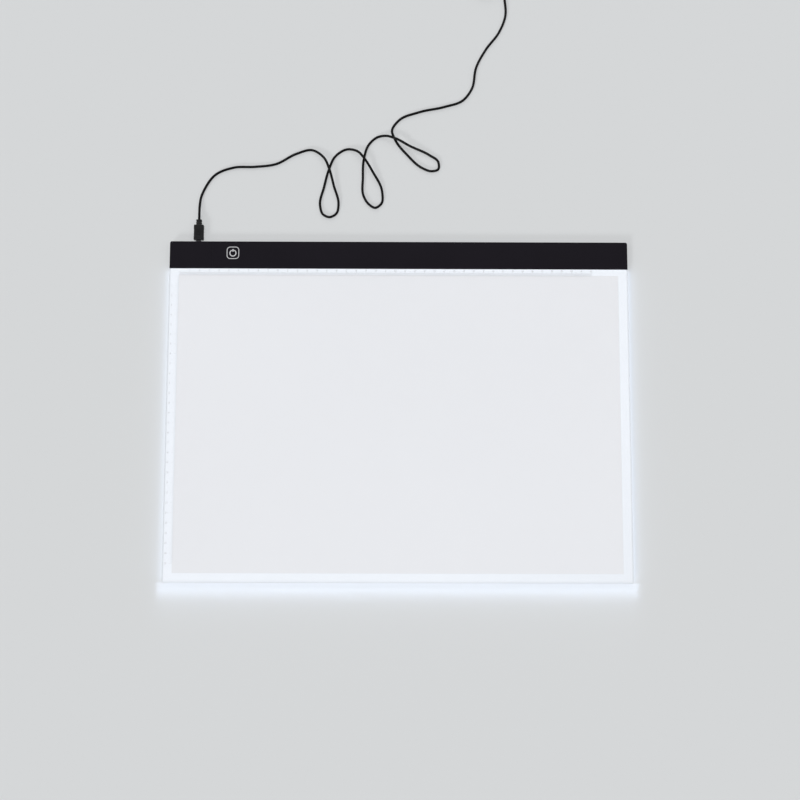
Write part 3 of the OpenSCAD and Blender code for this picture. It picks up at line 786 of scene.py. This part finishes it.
class TRACINGPAD_OT_stage(bpy.types.Operator):
    """Make the floor, the lights and the camera"""

    bl_idname = "tracingpad.stage"
    bl_label = "Stage"

    FLOOR_HALF = 6.0
    FLOOR_DROP = 0.02 * MM
    TO_LEFT = (-1.2, 0.1, 1.0)
    TO_RIGHT = (1.2, 0.1, 1.0)
    TO_BACK = (0.0, 1.2, 1.0)
    TO_KEY = (-1.2, -1.76, 1.0)
    SOFT = 45.0
    SMALL = 11.0
    EDGE_AIR = 0.3 * MM
    PAST_CORNERS = 6.0 * MM
    LEVEL = -90.0
    DOWNWARD = -73.0
    BEAM_SPREAD = 56.0
    SENSOR = 36.0
    NEAREST = 0.01
    CAMERA_PLACE = Vector((-0.65, -76.10, 944.19)) * MM
    CAMERA_TURN = (5.2209, -0.1583, 0.1481)

    def execute(self, context):
        stage = context.scene.tracing_pad_stage
        self.floor(stage)
        self.lamp("side_light_left", stage.side_light, self.TO_LEFT, self.SOFT)
        self.lamp("side_light_right", stage.side_light, self.TO_RIGHT, self.SOFT)
        self.lamp("back_light", stage.back_light, self.TO_BACK, self.SOFT)
        self.lamp("key_light", stage.key_light, self.TO_KEY, self.SMALL)
        self.edge_lamps(stage, context.scene.tracing_pad_light.edge)
        context.scene.world = self.room(stage)
        context.scene.camera = self.camera(stage)
        context.scene.view_settings.view_transform = "Standard"
        return {"FINISHED"}

    def floor(self, stage):
        """A pale floor that takes light and shade on a part of its colour."""
        shape = bmesh.new()
        bmesh.ops.create_grid(shape, x_segments=1, y_segments=1, size=self.FLOOR_HALF)
        mesh = mesh_from(shape, "floor")
        floor = link("floor", mesh)
        floor.location.z = -self.FLOOR_DROP
        finish = Finish("floor", {"Base Color": stage.floor, "Roughness": 0.7, "Specular IOR Level": 0.0})
        plain = finish.node("ShaderNodeEmission", {}, {"Color": stage.floor})
        part = finish.seen() * stage.backdrop
        finish.show(finish.node("ShaderNodeMixShader", {}, {0: part, 1: finish.shader, 2: plain}))
        mesh.materials.append(finish.material)

    def lamp(self, name, share, towards, angle):
        """A distant lamp that gives the floor its share of the light."""
        direction = Vector(towards).normalized()
        light = bpy.data.lights.new(name, "SUN")
        light.energy = share * math.pi / direction.z
        light.angle = math.radians(angle)
        lamp = link(name, light)
        lamp.rotation_euler = direction.to_track_quat("Z", "Y").to_euler()

    def edge_lamps(self, stage, colour):
        """Light that leaves the panel's edges for the floor: soft all around, and a beam at the front."""
        low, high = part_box("light_guide")
        height = high.z - low.z
        width = high.x - low.x + 2 * self.PAST_CORNERS
        depth = BAR_FRONT - low.y
        middle = Vector((0.0, low.y + depth / 2, (low.z + high.z) / 2))
        front = Vector((0.0, low.y - self.EDGE_AIR, middle.z))
        side = Vector((high.x + self.EDGE_AIR, 0.0, 0.0))
        upper = front + Vector((0.0, 0.0, height / 2))
        across = (width, height)
        along = (depth, height)
        self.edge_lamp("front_glow", stage.front_glow, colour, across, front)
        self.edge_lamp("left_glow", stage.left_glow, colour, along, middle - side, turn=-90.0)
        self.edge_lamp("right_glow", stage.right_glow, colour, along, middle + side, turn=90.0)
        beam = self.edge_lamp("front_beam", stage.beam, colour, across, upper, tilt=self.DOWNWARD)
        beam.spread = math.radians(self.BEAM_SPREAD)

    def edge_lamp(self, name, power, colour, size, place, tilt=LEVEL, turn=0.0):
        """A strip of light along an edge, which is itself not seen."""
        light = bpy.data.lights.new(name, "AREA")
        light.shape = "RECTANGLE"
        light.size, light.size_y = size
        light.energy = power
        light.color = colour
        lamp = link(name, light)
        lamp.location = place
        lamp.rotation_euler = (math.radians(tilt), 0.0, math.radians(turn))
        lamp.visible_camera = False
        lamp.visible_glossy = False
        return light

    def room(self, stage):
        """Even light from all around, which is seen as more of the floor."""
        world = bpy.data.worlds.new("room")
        room = Nodes(world, "ShaderNodeOutputWorld")
        white = {"Color": (1.0, 1.0, 1.0), "Strength": stage.room_light}
        light = room.node("ShaderNodeBackground", {}, white)
        backdrop = room.node("ShaderNodeBackground", {}, {"Color": stage.floor})
        room.show(room.node("ShaderNodeMixShader", {}, {0: room.seen(), 1: light, 2: backdrop}))
        return world

    def camera(self, stage):
        """The camera, above the pad and a little in front of its middle."""
        camera = bpy.data.cameras.new("camera")
        camera.lens = stage.lens
        camera.sensor_width = self.SENSOR
        camera.clip_start = self.NEAREST
        viewer = link("camera", camera)
        viewer.location = self.CAMERA_PLACE
        viewer.rotation_euler = [math.radians(angle) for angle in self.CAMERA_TURN]
        return viewer


class TRACINGPAD_OT_grips(bpy.types.Operator):
    """Make the moulded grips of the two plugs, with ribs and slots for the thumb"""

    bl_idname = "tracingpad.grips"
    bl_label = "Plug grips"

    PAD_GRIP = dict(
        width=10.0 * MM, height=6.0 * MM, radius=1.5 * MM, length=15.5 * MM, collar=5.5 * MM
    )
    CHARGER_GRIP = dict(
        width=15.6 * MM, height=8.4 * MM, radius=2.2 * MM, length=26.0 * MM, collar=8.0 * MM
    )
    END_ROUND = 0.5 * MM
    END_STEPS = 4
    RIBS = 5
    RIB_STEPS = 8
    RIB_DEPTH = 0.3 * MM
    RIBS_FROM = 0.22
    RIBS_TO = 0.74
    SLOTS = 4
    SLOT_INSET = 1.1 * MM
    SLOT_WIDTH = 0.45 * MM
    SLOT_ROUND = 0.45
    SLOT_DEPTH = 0.3 * MM
    NECK_WIDTH = 0.4
    NECK_MORE = 2.0 * MM
    NECK_HEIGHT = 0.8
    NECK_HIGHEST = 4.8 * MM
    NECK_ROUND = 1.3 * MM
    NECK_TAPER = 0.3 * MM
    COLLAR_RIBS = 3
    COLLAR_STEPS = 4
    GROOVE = 0.3 * MM
    GROOVE_STEEP = 1.6
    GROOVE_FROM = 0.3

    def execute(self, context):
        colour = context.scene.tracing_pad_lead.grip
        finish = moulded(
            "grip_moulding", colour, roughness=0.48, grain=2600.0, depth=0.03 * MM, specular=0.17
        )
        at_pad = Matrix.Translation((PLUG_X, GRIP_LOW.y, PLUG_Z))
        mesh = self.grip(at_pad, "pad_plug_grip", **self.PAD_GRIP)
        add_piece("pad_plug_grip", mesh, "lead", finish, ["plug_grip"])
        turn = Matrix.Rotation(math.radians(-90.0), 4, "Z")
        middle = (CHARGER_LOW.y + CHARGER_HIGH.y) / 2
        at_charger = Matrix.Translation((CHARGER_LOW.x, middle, CHARGER_Z)) @ turn
        mesh = self.grip(at_charger, "charger_plug_grip", **self.CHARGER_GRIP)
        add_piece("charger_plug_grip", mesh, "lead", finish, ["charger_grip"])
        return {"FINISHED"}

    def grip(self, place, name, width, height, radius, length, collar):
        """A grip that starts at its metal end, with a tapered ribbed collar at the cord's end."""
        ribs_from = self.RIBS_FROM * length
        ribs_to = self.RIBS_TO * length
        rings = []
        for along, side, top in self.stations(length, ribs_from, ribs_to):
            ring = rounded_ring(width - 2 * side, height - 2 * top, radius - min(side, top))
            rings.append([place @ Vector((x, along, z)) for x, z in ring])
        for part, inset in self.collar_insets():
            neck_w = self.NECK_WIDTH * width + self.NECK_MORE - inset
            neck_h = min(self.NECK_HIGHEST, self.NECK_HEIGHT * height) - inset
            ring = rounded_ring(neck_w, neck_h, self.NECK_ROUND)
            rings.append([place @ Vector((x, length + collar * part, z)) for x, z in ring])
        shape = bmesh.new()
        add_loft(shape, rings)
        slot_length = width - 2 * radius - 2 * self.SLOT_INSET
        self.thumb_slots(shape, place, ribs_from, ribs_to, slot_length, height / 2)
        return mesh_from(shape, name)

    def stations(self, length, ribs_from, ribs_to):
        """Places along a grip, and how far its sides and its top stand in there."""
        bends = [math.radians(90.0 * k / self.END_STEPS) for k in range(self.END_STEPS + 1)]
        stations = []
        for bend in bends:
            inset = self.END_ROUND * (1.0 - math.sin(bend))
            stations.append((self.END_ROUND * (1.0 - math.cos(bend)), inset, inset))
        steps = self.RIBS * self.RIB_STEPS
        for k in range(steps + 1):
            part = k / steps
            wave = 0.5 - 0.5 * math.cos(2 * math.pi * self.RIBS * part)
            stations.append((ribs_from + (ribs_to - ribs_from) * part, self.RIB_DEPTH * wave, 0.0))
        for bend in bends:
            inset = self.END_ROUND * (1.0 - math.cos(bend))
            stations.append((length - self.END_ROUND * (1.0 - math.sin(bend)), inset, inset))
        return stations

    def collar_insets(self):
        """Parts of the collar's length, and how much narrower it is there: tapered, with grooves."""
        bands = 2 * self.COLLAR_RIBS - 1
        steps = bands * self.COLLAR_STEPS
        insets = []
        for k in range(steps + 1):
            part = k / steps
            wave = 0.5 - 0.5 * math.cos(math.pi * bands * part)
            sunk = min(1.0, max(0.0, self.GROOVE_STEEP * wave - self.GROOVE_FROM)) if k < steps else 0.0
            insets.append((part, self.NECK_TAPER * part + 2 * self.GROOVE * sunk))
        return insets

    def thumb_slots(self, shape, place, start, end, length, top):
        """Sinks a row of slots into the flat top between the ribs."""
        back = place.inverted()
        faces = []
        for face in shape.faces:
            middle = back @ face.calc_center_median()
            if near(middle.z, top) and start < middle.y < end:
                faces.append(face)
        if not faces:
            raise RuntimeError("the grip has no flat top")
        flat = set(faces)
        rims = [edge for edge in shape.edges if len(flat.intersection(edge.link_faces)) == 1]
        bmesh.ops.delete(shape, geom=faces, context="FACES")
        ring = rounded_ring(length, self.SLOT_WIDTH, self.SLOT_ROUND * self.SLOT_WIDTH)
        for k in range(self.SLOTS):
            middle = start + (end - start) * (k + 1) / (self.SLOTS + 1)
            rows = []
            for z in (top, top - self.SLOT_DEPTH):
                rows.append([shape.verts.new(place @ Vector((x, middle + y, z))) for x, y in ring])
            upper, lower = rows
            for i, vertex in enumerate(upper):
                j = (i + 1) % len(ring)
                shape.faces.new((vertex, upper[j], lower[j], lower[i]))
                rims.append(shape.edges.get((vertex, upper[j])))
            shape.faces.new(lower)
        bmesh.ops.triangle_fill(shape, use_beauty=True, edges=rims)


class TRACINGPAD_OT_tie(bpy.types.Operator):
    """Make the ribbon tie around the coil, with its twisted end"""

    bl_idname = "tracingpad.tie"
    bl_label = "Coil tie"

    ANGLE = 200.0
    WIDTH = 4.0 * MM
    THICKNESS = 0.6 * MM
    GAP = 0.3 * MM
    INNER_ROUND = 0.9 * MM
    OUTER_ROUND = 1.5 * MM
    ROUND_STEPS = 6
    PROFILE = (
        (-0.5, 0.3), (-0.42, 0.62), (-0.12, 0.66), (0.0, 1.0), (0.12, 0.66), (0.42, 0.62), (0.5, 0.3)
    )
    TWIST_LENGTH = 7.0 * MM
    TWIST_TURNS = 2.0
    TWIST_STEPS = 36
    TWIST_RADIUS = 0.55 * MM
    TWIST_ROOT = 0.3 * MM
    STRAND_RADIUS = 0.4 * MM
    STRAND_SIDES = 10

    def execute(self, context):
        turns = [k + self.ANGLE / 360.0 for k in range(int(COIL_TURNS) + 1)]
        radii = [coil_radius(turn) for turn in turns if turn <= COIL_TURNS]
        air = 2 * self.GAP + self.THICKNESS
        width = max(radii) - min(radii) + CORD_DIAMETER + air
        height = TURN_STEP + CORD_DIAMETER + air
        middle = Vector((COIL_FROM.x - COIL_OUTER, COIL_FROM.y, COIL_Z + TURN_STEP / 2))
        turned = Matrix.Rotation(math.radians(self.ANGLE), 4, "Z")
        outward = Matrix.Translation(((max(radii) + min(radii)) / 2, 0.0, 0.0))
        place = Matrix.Translation(CORD_EXIT + middle) @ turned @ outward
        shape = bmesh.new()
        self.band(shape, place, width, height)
        for half in (0.0, math.pi):
            self.strand(shape, place, width / 2, half)
        finish = moulded("tie_ribbon", (0.02, 0.02, 0.021), roughness=0.45, grain=1200.0, depth=0.04 * MM)
        mesh = mesh_from(shape, "cord_tie")
        add_piece("cord_tie", mesh, "lead", finish, ["coil_tie"])
        return {"FINISHED"}

    def band(self, shape, place, width, height):
        """The ribbon's loop, thick in the middle where its wire is."""
        thin = self.THICKNESS
        inner = rounded_ring(width - thin, height - thin, self.INNER_ROUND, self.ROUND_STEPS)
        outer = rounded_ring(width + thin, height + thin, self.OUTER_ROUND, self.ROUND_STEPS)
        rings = []
        for (xi, zi), (xo, zo) in zip(inner, outer):
            ring = []
            for across, rise in self.PROFILE:
                ring.append((xi + (xo - xi) * rise, across * self.WIDTH, zi + (zo - zi) * rise))
            for across, _ in reversed(self.PROFILE):
                ring.append((xi, across * self.WIDTH, zi))
            rings.append([place @ Vector(point) for point in ring])
        add_loft(shape, rings, closed=True)

    def strand(self, shape, place, start, half):
        """One of the two strands of the twisted end."""
        points = []
        for k in range(self.TWIST_STEPS + 1):
            part = k / self.TWIST_STEPS
            angle = half + 2 * math.pi * self.TWIST_TURNS * part
            reach = start - self.TWIST_ROOT + self.TWIST_LENGTH * part
            y = self.TWIST_RADIUS * math.cos(angle)
            z = self.TWIST_RADIUS * math.sin(angle)
            points.append(place @ Vector((reach, y, z)))
        add_tube(shape, points, self.STRAND_RADIUS, self.STRAND_SIDES)


class TRACINGPAD_OT_plug_metal(bpy.types.Operator):
    """Finish the plugs' shells, inserts and contacts, and the socket"""

    bl_idname = "tracingpad.plug_metal"
    bl_label = "Plugs and socket"

    SHELL_ROUND = 0.25 * MM
    LONG_EDGE = 10 * MM

    def execute(self, context):
        steel = plated("plated_shell", (0.46, 0.46, 0.47), roughness=0.3, stretch=ALONG_PLUG)
        mesh = softened(
            "charger_shell", "charger_plug_shell", self.SHELL_ROUND, segments=3, pick=self.lengthwise
        )
        add_piece("charger_plug_shell", mesh, "lead", steel, ["charger_shell"])
        dress(steel, "usb_socket_shell")
        # The pad's plug shell, with painted shade on its neck.
        dress(shell_with_painted_shade(), "plug_shell")
        gold = plated("gold_flash", (0.8, 0.58, 0.22), roughness=0.22, stretch=ALONG_PLUG)
        dress(gold, "usb_socket_contacts", "plug_contacts", "charger_contact_set")
        black = moulded("socket_nylon", (0.012, 0.012, 0.013), roughness=0.5, grain=2400.0)
        dress(black, "usb_socket_tongue", "plug_insert")
        white = moulded("tongue_nylon", (0.72, 0.72, 0.69), roughness=0.45, grain=2400.0, spread=0.06)
        dress(white, "charger_tongue")
        return {"FINISHED"}

    def lengthwise(self, a, b):
        """Picks the long edges of the charger plug's shell."""
        return abs(a.x - b.x) > self.LONG_EDGE


class TRACINGPAD_OT_cord(bpy.types.Operator):
    """Lay the cord over the table, with its spare length coiled"""

    bl_idname = "tracingpad.cord"
    bl_label = "Cord"

    ON_IT = (
        "plug_shell",
        "plug_insert",
        "plug_contacts",
        "pad_plug_grip",
        "cord_tie",
        "charger_plug_grip",
        "charger_plug_shell",
        "charger_tongue",
        "charger_contact_set",
    )

    def execute(self, context):
        lead = context.scene.tracing_pad_lead
        curve = bpy.data.curves.new("power_cord", "CURVE")
        curve.dimensions = "3D"
        curve.bevel_depth = lead.diameter / 2
        curve.bevel_resolution = 4
        curve.resolution_u = 8
        curve.use_fill_caps = True
        points = cord_points()
        spline = curve.splines.new("BEZIER")
        spline.bezier_points.add(len(points) - 1)
        for i, point in enumerate(points):
            ahead = heading(points, i)
            before = (point - points[max(i - 1, 0)]).length
            after = (points[min(i + 1, len(points) - 1)] - point).length
            knot = spline.bezier_points[i]
            knot.co = point
            knot.handle_left_type = "FREE"
            knot.handle_right_type = "FREE"
            knot.handle_left = point - ahead * (before or after) / 3
            knot.handle_right = point + ahead * (after or before) / 3
        sheath = cord_sheath(lead.cord)
        cord = add_piece("power_cord", curve, "lead", sheath, ["cord_run", "cord_coil"])
        return {"FINISHED"}


class TRACINGPAD_OT_panel(bpy.types.Operator):
    """Make the clear cover and finish the lit layers under it"""

    bl_idname = "tracingpad.panel"
    bl_label = "Lit panel"

    AIR = 0.03 * MM

    def execute(self, context):
        light = context.scene.tracing_pad_light
        body = context.scene.tracing_pad_body
        upper = at_height(COVER_HIGH.z)
        mesh = softened("cover_plate", "clear_cover", body.cover_round, segments=2, pick=upper)
        for vertex in mesh.vertices:
            if near(vertex.co.z, COVER_LOW.z):
                vertex.co.z += self.AIR
        add_piece("clear_cover", mesh, "pad", clear_cover(), ["cover_plate"])
        dress(frosted_sheet(light), "diffuser_sheet")
        dress(lit_border(light), "cover_tape")
        dress(lit_guide(light), "light_guide")
        white = (0.84, 0.85, 0.86)
        film = moulded("reflector_film", white, roughness=0.35, grain=1500.0, depth=0.01 * MM, spread=0.02)
        dress(film, "reflector_sheet")
        return {"FINISHED"}


class TRACINGPAD_OT_ruler(bpy.types.Operator):
    """Print the ruler along the back and down the left side of the cover"""

    bl_idname = "tracingpad.ruler"
    bl_label = "Ruler"

    ZERO = Vector((-223.3, 136.3)) * MM
    PER_CM = 10
    BACK_START = 0.6 * MM
    BACK_WEIGHT = 1.4
    BACK_TICKS = (3.2 * MM, 3.7 * MM, 4.4 * MM)
    BACK_DIGITS = 6.1 * MM
    LEFT_START = 0.9 * MM
    LEFT_WEIGHT = 0.7
    LEFT_TICKS = (1.5 * MM, 2.3 * MM, 3.3 * MM)
    LEFT_DIGITS = 7.8 * MM
    DIGIT_SHARE = 0.7
    DIGIT_GAP = 0.25 * MM
    DIGIT_THINNING = 0.03 * MM
    INK = 0.02 * MM
    INK_BASE = COVER_HIGH.z + 0.2 * INK

    def execute(self, context):
        body = context.scene.tracing_pad_body
        shape = bmesh.new()
        self.digits = self.digit_shapes(body.digit_height)
        half = self.BACK_WEIGHT * body.tick_width / 2
        for step in range(body.ruler_width * self.PER_CM + 1):
            x = self.ZERO.x + step * MM
            y = self.ZERO.y + self.BACK_START
            self.mark(shape, (x - half, y), (x + half, y + self.tick(step, self.BACK_TICKS)))
            self.number(shape, step, x, self.ZERO.y + self.BACK_DIGITS)
        half = self.LEFT_WEIGHT * body.tick_width / 2
        for step in range(body.ruler_depth * self.PER_CM + 1):
            x = self.ZERO.x - self.LEFT_START
            y = self.ZERO.y - step * MM
            self.mark(shape, (x - self.tick(step, self.LEFT_TICKS), y - half), (x, y + half))
            self.number(shape, step, self.ZERO.x - self.LEFT_DIGITS, y)
        bmesh.ops.remove_doubles(shape, verts=shape.verts, dist=WELD)
        mesh = mesh_from(shape, "ruler_print")
        add_piece("ruler_print", mesh, "pad", printed("ruler_ink", body.ruler_ink))
        return {"FINISHED"}

    def tick(self, step, lengths):
        """Length of a tick: longer at each half and each whole centimetre."""
        short, half, whole = lengths
        if step % self.PER_CM == 0:
            return whole
        return half if step % (self.PER_CM // 2) == 0 else short

    def mark(self, shape, low, high):
        """A line of ink between two corners."""
        add_box(shape, (*low, self.INK_BASE), (*high, self.INK_BASE + self.INK))

    def digit_shapes(self, height):
        """The ten digits as flat shapes around their own middles: points, faces and width."""
        shapes = {}
        for digit in "0123456789":
            text = bpy.data.curves.new("digit", "FONT")
            text.body = digit
            text.size = height / self.DIGIT_SHARE
            text.resolution_u = 2
            text.extrude = self.INK / 2
            text.offset = -self.DIGIT_THINNING
            model = link("digit", text)
            bpy.context.view_layer.update()
            drawn = model.evaluated_get(bpy.context.evaluated_depsgraph_get())
            mesh = bpy.data.meshes.new_from_object(drawn)
            low = min(v.co.x for v in mesh.vertices)
            high = max(v.co.x for v in mesh.vertices)
            middle = Vector(((low + high) / 2, height / 2, 0.0))
            points = [v.co - middle for v in mesh.vertices]
            shapes[digit] = (points, [tuple(face.vertices) for face in mesh.polygons], high - low)
            bpy.data.objects.remove(model)
            bpy.data.curves.remove(text)
            bpy.data.meshes.remove(mesh)
        return shapes

    def number(self, shape, step, x, y):
        """The plain number of a whole centimetre, centred on a point. Zero has none."""
        if step == 0 or step % self.PER_CM:
            return
        text = str(step // self.PER_CM)
        width = sum(self.digits[digit][2] for digit in text) + self.DIGIT_GAP * (len(text) - 1)
        left = x - width / 2
        for digit in text:
            points, faces, wide = self.digits[digit]
            middle = Vector((left + wide / 2, y, self.INK_BASE + self.INK / 2))
            made = [shape.verts.new(middle + point) for point in points]
            for face in faces:
                shape.faces.new([made[i] for i in face])
            left += wide + self.DIGIT_GAP


class TRACINGPAD_OT_bar(bpy.types.Operator):
    """Round and finish the two pieces of the control bar"""

    bl_idname = "tracingpad.bar"
    bl_label = "Control bar"

    SEAM_LINE = 0.03 * MM
    SEAM_REACH = 0.3 * MM

    def execute(self, context):
        body = context.scene.tracing_pad_body
        finish = moulded("bar_moulding", body.bar, roughness=0.36, grain=3200.0, specular=0.14)
        for node, name in (("bar_cover", "bar_housing"), ("bar_end", "bar_end_housing")):
            mesh = softened(node, name, body.bar_round, segments=3, pick=self.outline)
            for vertex in mesh.vertices:
                if near(vertex.co.x, END_RIGHT):
                    vertex.co.x = SEAM_X - self.SEAM_LINE
            add_piece(name, mesh, "pad", finish, [node])
        return {"FINISHED"}

    def outline(self, a, b):
        """Picks the bar's upper edges, apart from those at the seam."""
        at_seam = abs(a.x - SEAM_X) < self.SEAM_REACH and abs(b.x - SEAM_X) < self.SEAM_REACH
        return near(a.z, BAR_HIGH.z) and near(b.z, BAR_HIGH.z) and not at_seam


class TRACINGPAD_OT_key(bpy.types.Operator):
    """Print the power key on the bar: a rounded square around a power sign"""

    bl_idname = "tracingpad.key"
    bl_label = "Power key"

    INSET = 0.08 * MM
    LINE = 0.64 * MM
    CORNER = 3.5 * MM
    CORNER_STEPS = 8
    SIGN_DROP = 0.3 * MM
    SIGN_RADIUS = 3.1 * MM
    SIGN_LINE = 0.92 * MM
    SIGN_GAP = 44.0
    SIGN_STEPS = 48
    STROKE_LOW = 1.6 * MM
    STROKE_HIGH = 4.0 * MM
    STROKE_LINE = 1.2 * MM

    def execute(self, context):
        body = context.scene.tracing_pad_body
        low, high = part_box("power_mark")
        middle = (low + high) / 2
        sign = middle - Vector((0.0, self.SIGN_DROP, 0.0))
        size = high.x - low.x - 2 * self.INSET
        hole = size - 2 * self.LINE
        outer = rounded_ring(size, size, self.CORNER, self.CORNER_STEPS)
        inner = rounded_ring(hole, hole, self.CORNER - self.LINE, self.CORNER_STEPS)
        shape = bmesh.new()
        add_loft(shape, self.sections(middle, outer, inner, low.z, high.z), closed=True)
        outer = self.arc(self.SIGN_RADIUS + self.SIGN_LINE / 2)
        inner = self.arc(self.SIGN_RADIUS - self.SIGN_LINE / 2)
        add_loft(shape, self.sections(sign, outer, inner, low.z, high.z))
        half = self.STROKE_LINE / 2
        add_box(
            shape,
            (sign.x - half, sign.y + self.STROKE_LOW, low.z),
            (sign.x + half, sign.y + self.STROKE_HIGH, high.z),
        )
        mesh = mesh_from(shape, "power_key")
        finish = printed("key_print", body.key_print)
        add_piece("power_key", mesh, "pad", finish, ["power_mark"])
        return {"FINISHED"}

    def arc(self, radius):
        """Points around the power sign's ring, which is open at the back."""
        start = 90.0 + self.SIGN_GAP / 2
        points = []
        for k in range(self.SIGN_STEPS + 1):
            angle = math.radians(start + (360.0 - self.SIGN_GAP) * k / self.SIGN_STEPS)
            points.append((radius * math.cos(angle), radius * math.sin(angle)))
        return points

    def sections(self, middle, outer, inner, low, high):
        """Cross-sections of a flat line between an outer and an inner outline."""
        rings = []
        for (xo, yo), (xi, yi) in zip(outer, inner):
            corners = ((xo, yo, low), (xo, yo, high), (xi, yi, high), (xi, yi, low))
            rings.append([(middle.x + x, middle.y + y, z) for x, y, z in corners])
        return rings


class TRACINGPAD_OT_base(bpy.types.Operator):
    """Round and finish the back plate, its feet and the screws"""

    bl_idname = "tracingpad.base"
    bl_label = "Base"

    PLATE_ROUND = 0.15 * MM
    FOOT_ROUND = 0.2 * MM

    def execute(self, context):
        white = moulded(
            "base_plastic", (0.76, 0.76, 0.75), roughness=0.5, grain=1100.0, depth=0.04 * MM, spread=0.03
        )
        mesh = softened("back_plate", "base_plate", self.PLATE_ROUND, segments=2, pick=lambda a, b: True)
        add_piece("base_plate", mesh, "pad", white, ["back_plate"])
        black = (0.032, 0.032, 0.034)
        rubber = moulded("foot_rubber", black, roughness=0.8, grain=1500.0, depth=0.08 * MM, specular=0.3)
        mesh = softened("rubber_feet", "feet", self.FOOT_ROUND, segments=3, pick=at_height(0.0))
        add_piece("feet", mesh, "pad", rubber, ["rubber_feet"])
        zinc = plated("screw_zinc", (0.5, 0.5, 0.5), roughness=0.35, stretch=ALONG_SCREW)
        dress(zinc, "bar_screws", "board_screws")
        return {"FINISHED"}


class TRACINGPAD_OT_light_strip(bpy.types.Operator):
    """Finish the light strip and its seal"""

    bl_idname = "tracingpad.light_strip"
    bl_label = "Light strip"

    def execute(self, context):
        laminate = moulded(
            "strip_laminate", (0.78, 0.78, 0.76), roughness=0.4, grain=1800.0, spread=0.05
        )
        dress(laminate, "led_board")
        dress(emitter_resin(), "led_chips")
        tape = moulded("strip_tape", (0.5, 0.3, 0.06), roughness=0.35, grain=700.0, depth=0.03 * MM)
        dress(tape, "led_tape")
        dress(foam("seal_foam", (0.02, 0.02, 0.02), pore=1800.0), "light_seal")
        return {"FINISHED"}


class TRACINGPAD_OT_board(bpy.types.Operator):
    """Finish the control board, its small parts and its wires"""

    bl_idname = "tracingpad.board"
    bl_label = "Control board"

    def execute(self, context):
        dress(circuit_laminate(), "control_board")
        dress(foam("touch_foam", (0.12, 0.12, 0.125), pore=1400.0), "touch_foam")
        epoxy = moulded("chip_epoxy", (0.02, 0.02, 0.021), roughness=0.55, grain=3000.0)
        dress(epoxy, "touch_chip", "dimmer_transistor")
        dress(ceramic_body("resistor_glaze", (0.03, 0.03, 0.035)), "board_resistors")
        dress(ceramic_body("capacitor_body", (0.42, 0.27, 0.14)), "board_capacitors")
        red = moulded("red_sleeve", (0.42, 0.02, 0.02), roughness=0.35, grain=1600.0)
        dress(red, "feed_wire_red")
        black = moulded("black_sleeve", (0.012, 0.012, 0.012), roughness=0.35, grain=1600.0)
        dress(black, "feed_wire_black")
        return {"FINISHED"}


OPERATORS = (
    TRACINGPAD_OT_stage,
    TRACINGPAD_OT_grips,
    TRACINGPAD_OT_tie,
    TRACINGPAD_OT_plug_metal,
    TRACINGPAD_OT_cord,
    TRACINGPAD_OT_panel,
    TRACINGPAD_OT_ruler,
    TRACINGPAD_OT_bar,
    TRACINGPAD_OT_key,
    TRACINGPAD_OT_base,
    TRACINGPAD_OT_light_strip,
    TRACINGPAD_OT_board,
)
GROUPS = {
    "tracing_pad_light": TracingPadLight,
    "tracing_pad_body": TracingPadBody,
    "tracing_pad_lead": TracingPadLead,
    "tracing_pad_stage": TracingPadStage,
}


class TRACINGPAD_PT_sidebar(bpy.types.Panel):
    """Lists the pad's pieces and the sizes and colours that they take"""

    bl_idname = "TRACINGPAD_PT_sidebar"
    bl_label = "Tracing pad"
    bl_space_type = "VIEW_3D"
    bl_region_type = "UI"
    bl_category = "Tracing pad"

    def draw(self, context):
        for attribute, group in GROUPS.items():
            box = self.layout.box()
            for name in group.__annotations__:
                box.prop(getattr(context.scene, attribute), name)
        for operator in OPERATORS:
            self.layout.operator(operator.bl_idname)


def register():
    for attribute, group in GROUPS.items():
        bpy.utils.register_class(group)
        setattr(bpy.types.Scene, attribute, PointerProperty(type=group))
    for operator in OPERATORS:
        bpy.utils.register_class(operator)
    bpy.utils.register_class(TRACINGPAD_PT_sidebar)


def unregister():
    bpy.utils.unregister_class(TRACINGPAD_PT_sidebar)
    for operator in reversed(OPERATORS):
        bpy.utils.unregister_class(operator)
    for attribute, group in GROUPS.items():
        delattr(bpy.types.Scene, attribute)
        bpy.utils.unregister_class(group)


def main():
    register()
    bpy.ops.tracingpad.stage()
    bpy.ops.tracingpad.grips()
    bpy.ops.tracingpad.tie()
    bpy.ops.tracingpad.plug_metal()
    bpy.ops.tracingpad.cord()
    bpy.ops.tracingpad.panel()
    bpy.ops.tracingpad.ruler()
    bpy.ops.tracingpad.bar()
    bpy.ops.tracingpad.key()
    bpy.ops.tracingpad.base()
    bpy.ops.tracingpad.light_strip()
    bpy.ops.tracingpad.board()


if __name__ == "__main__":
    main()
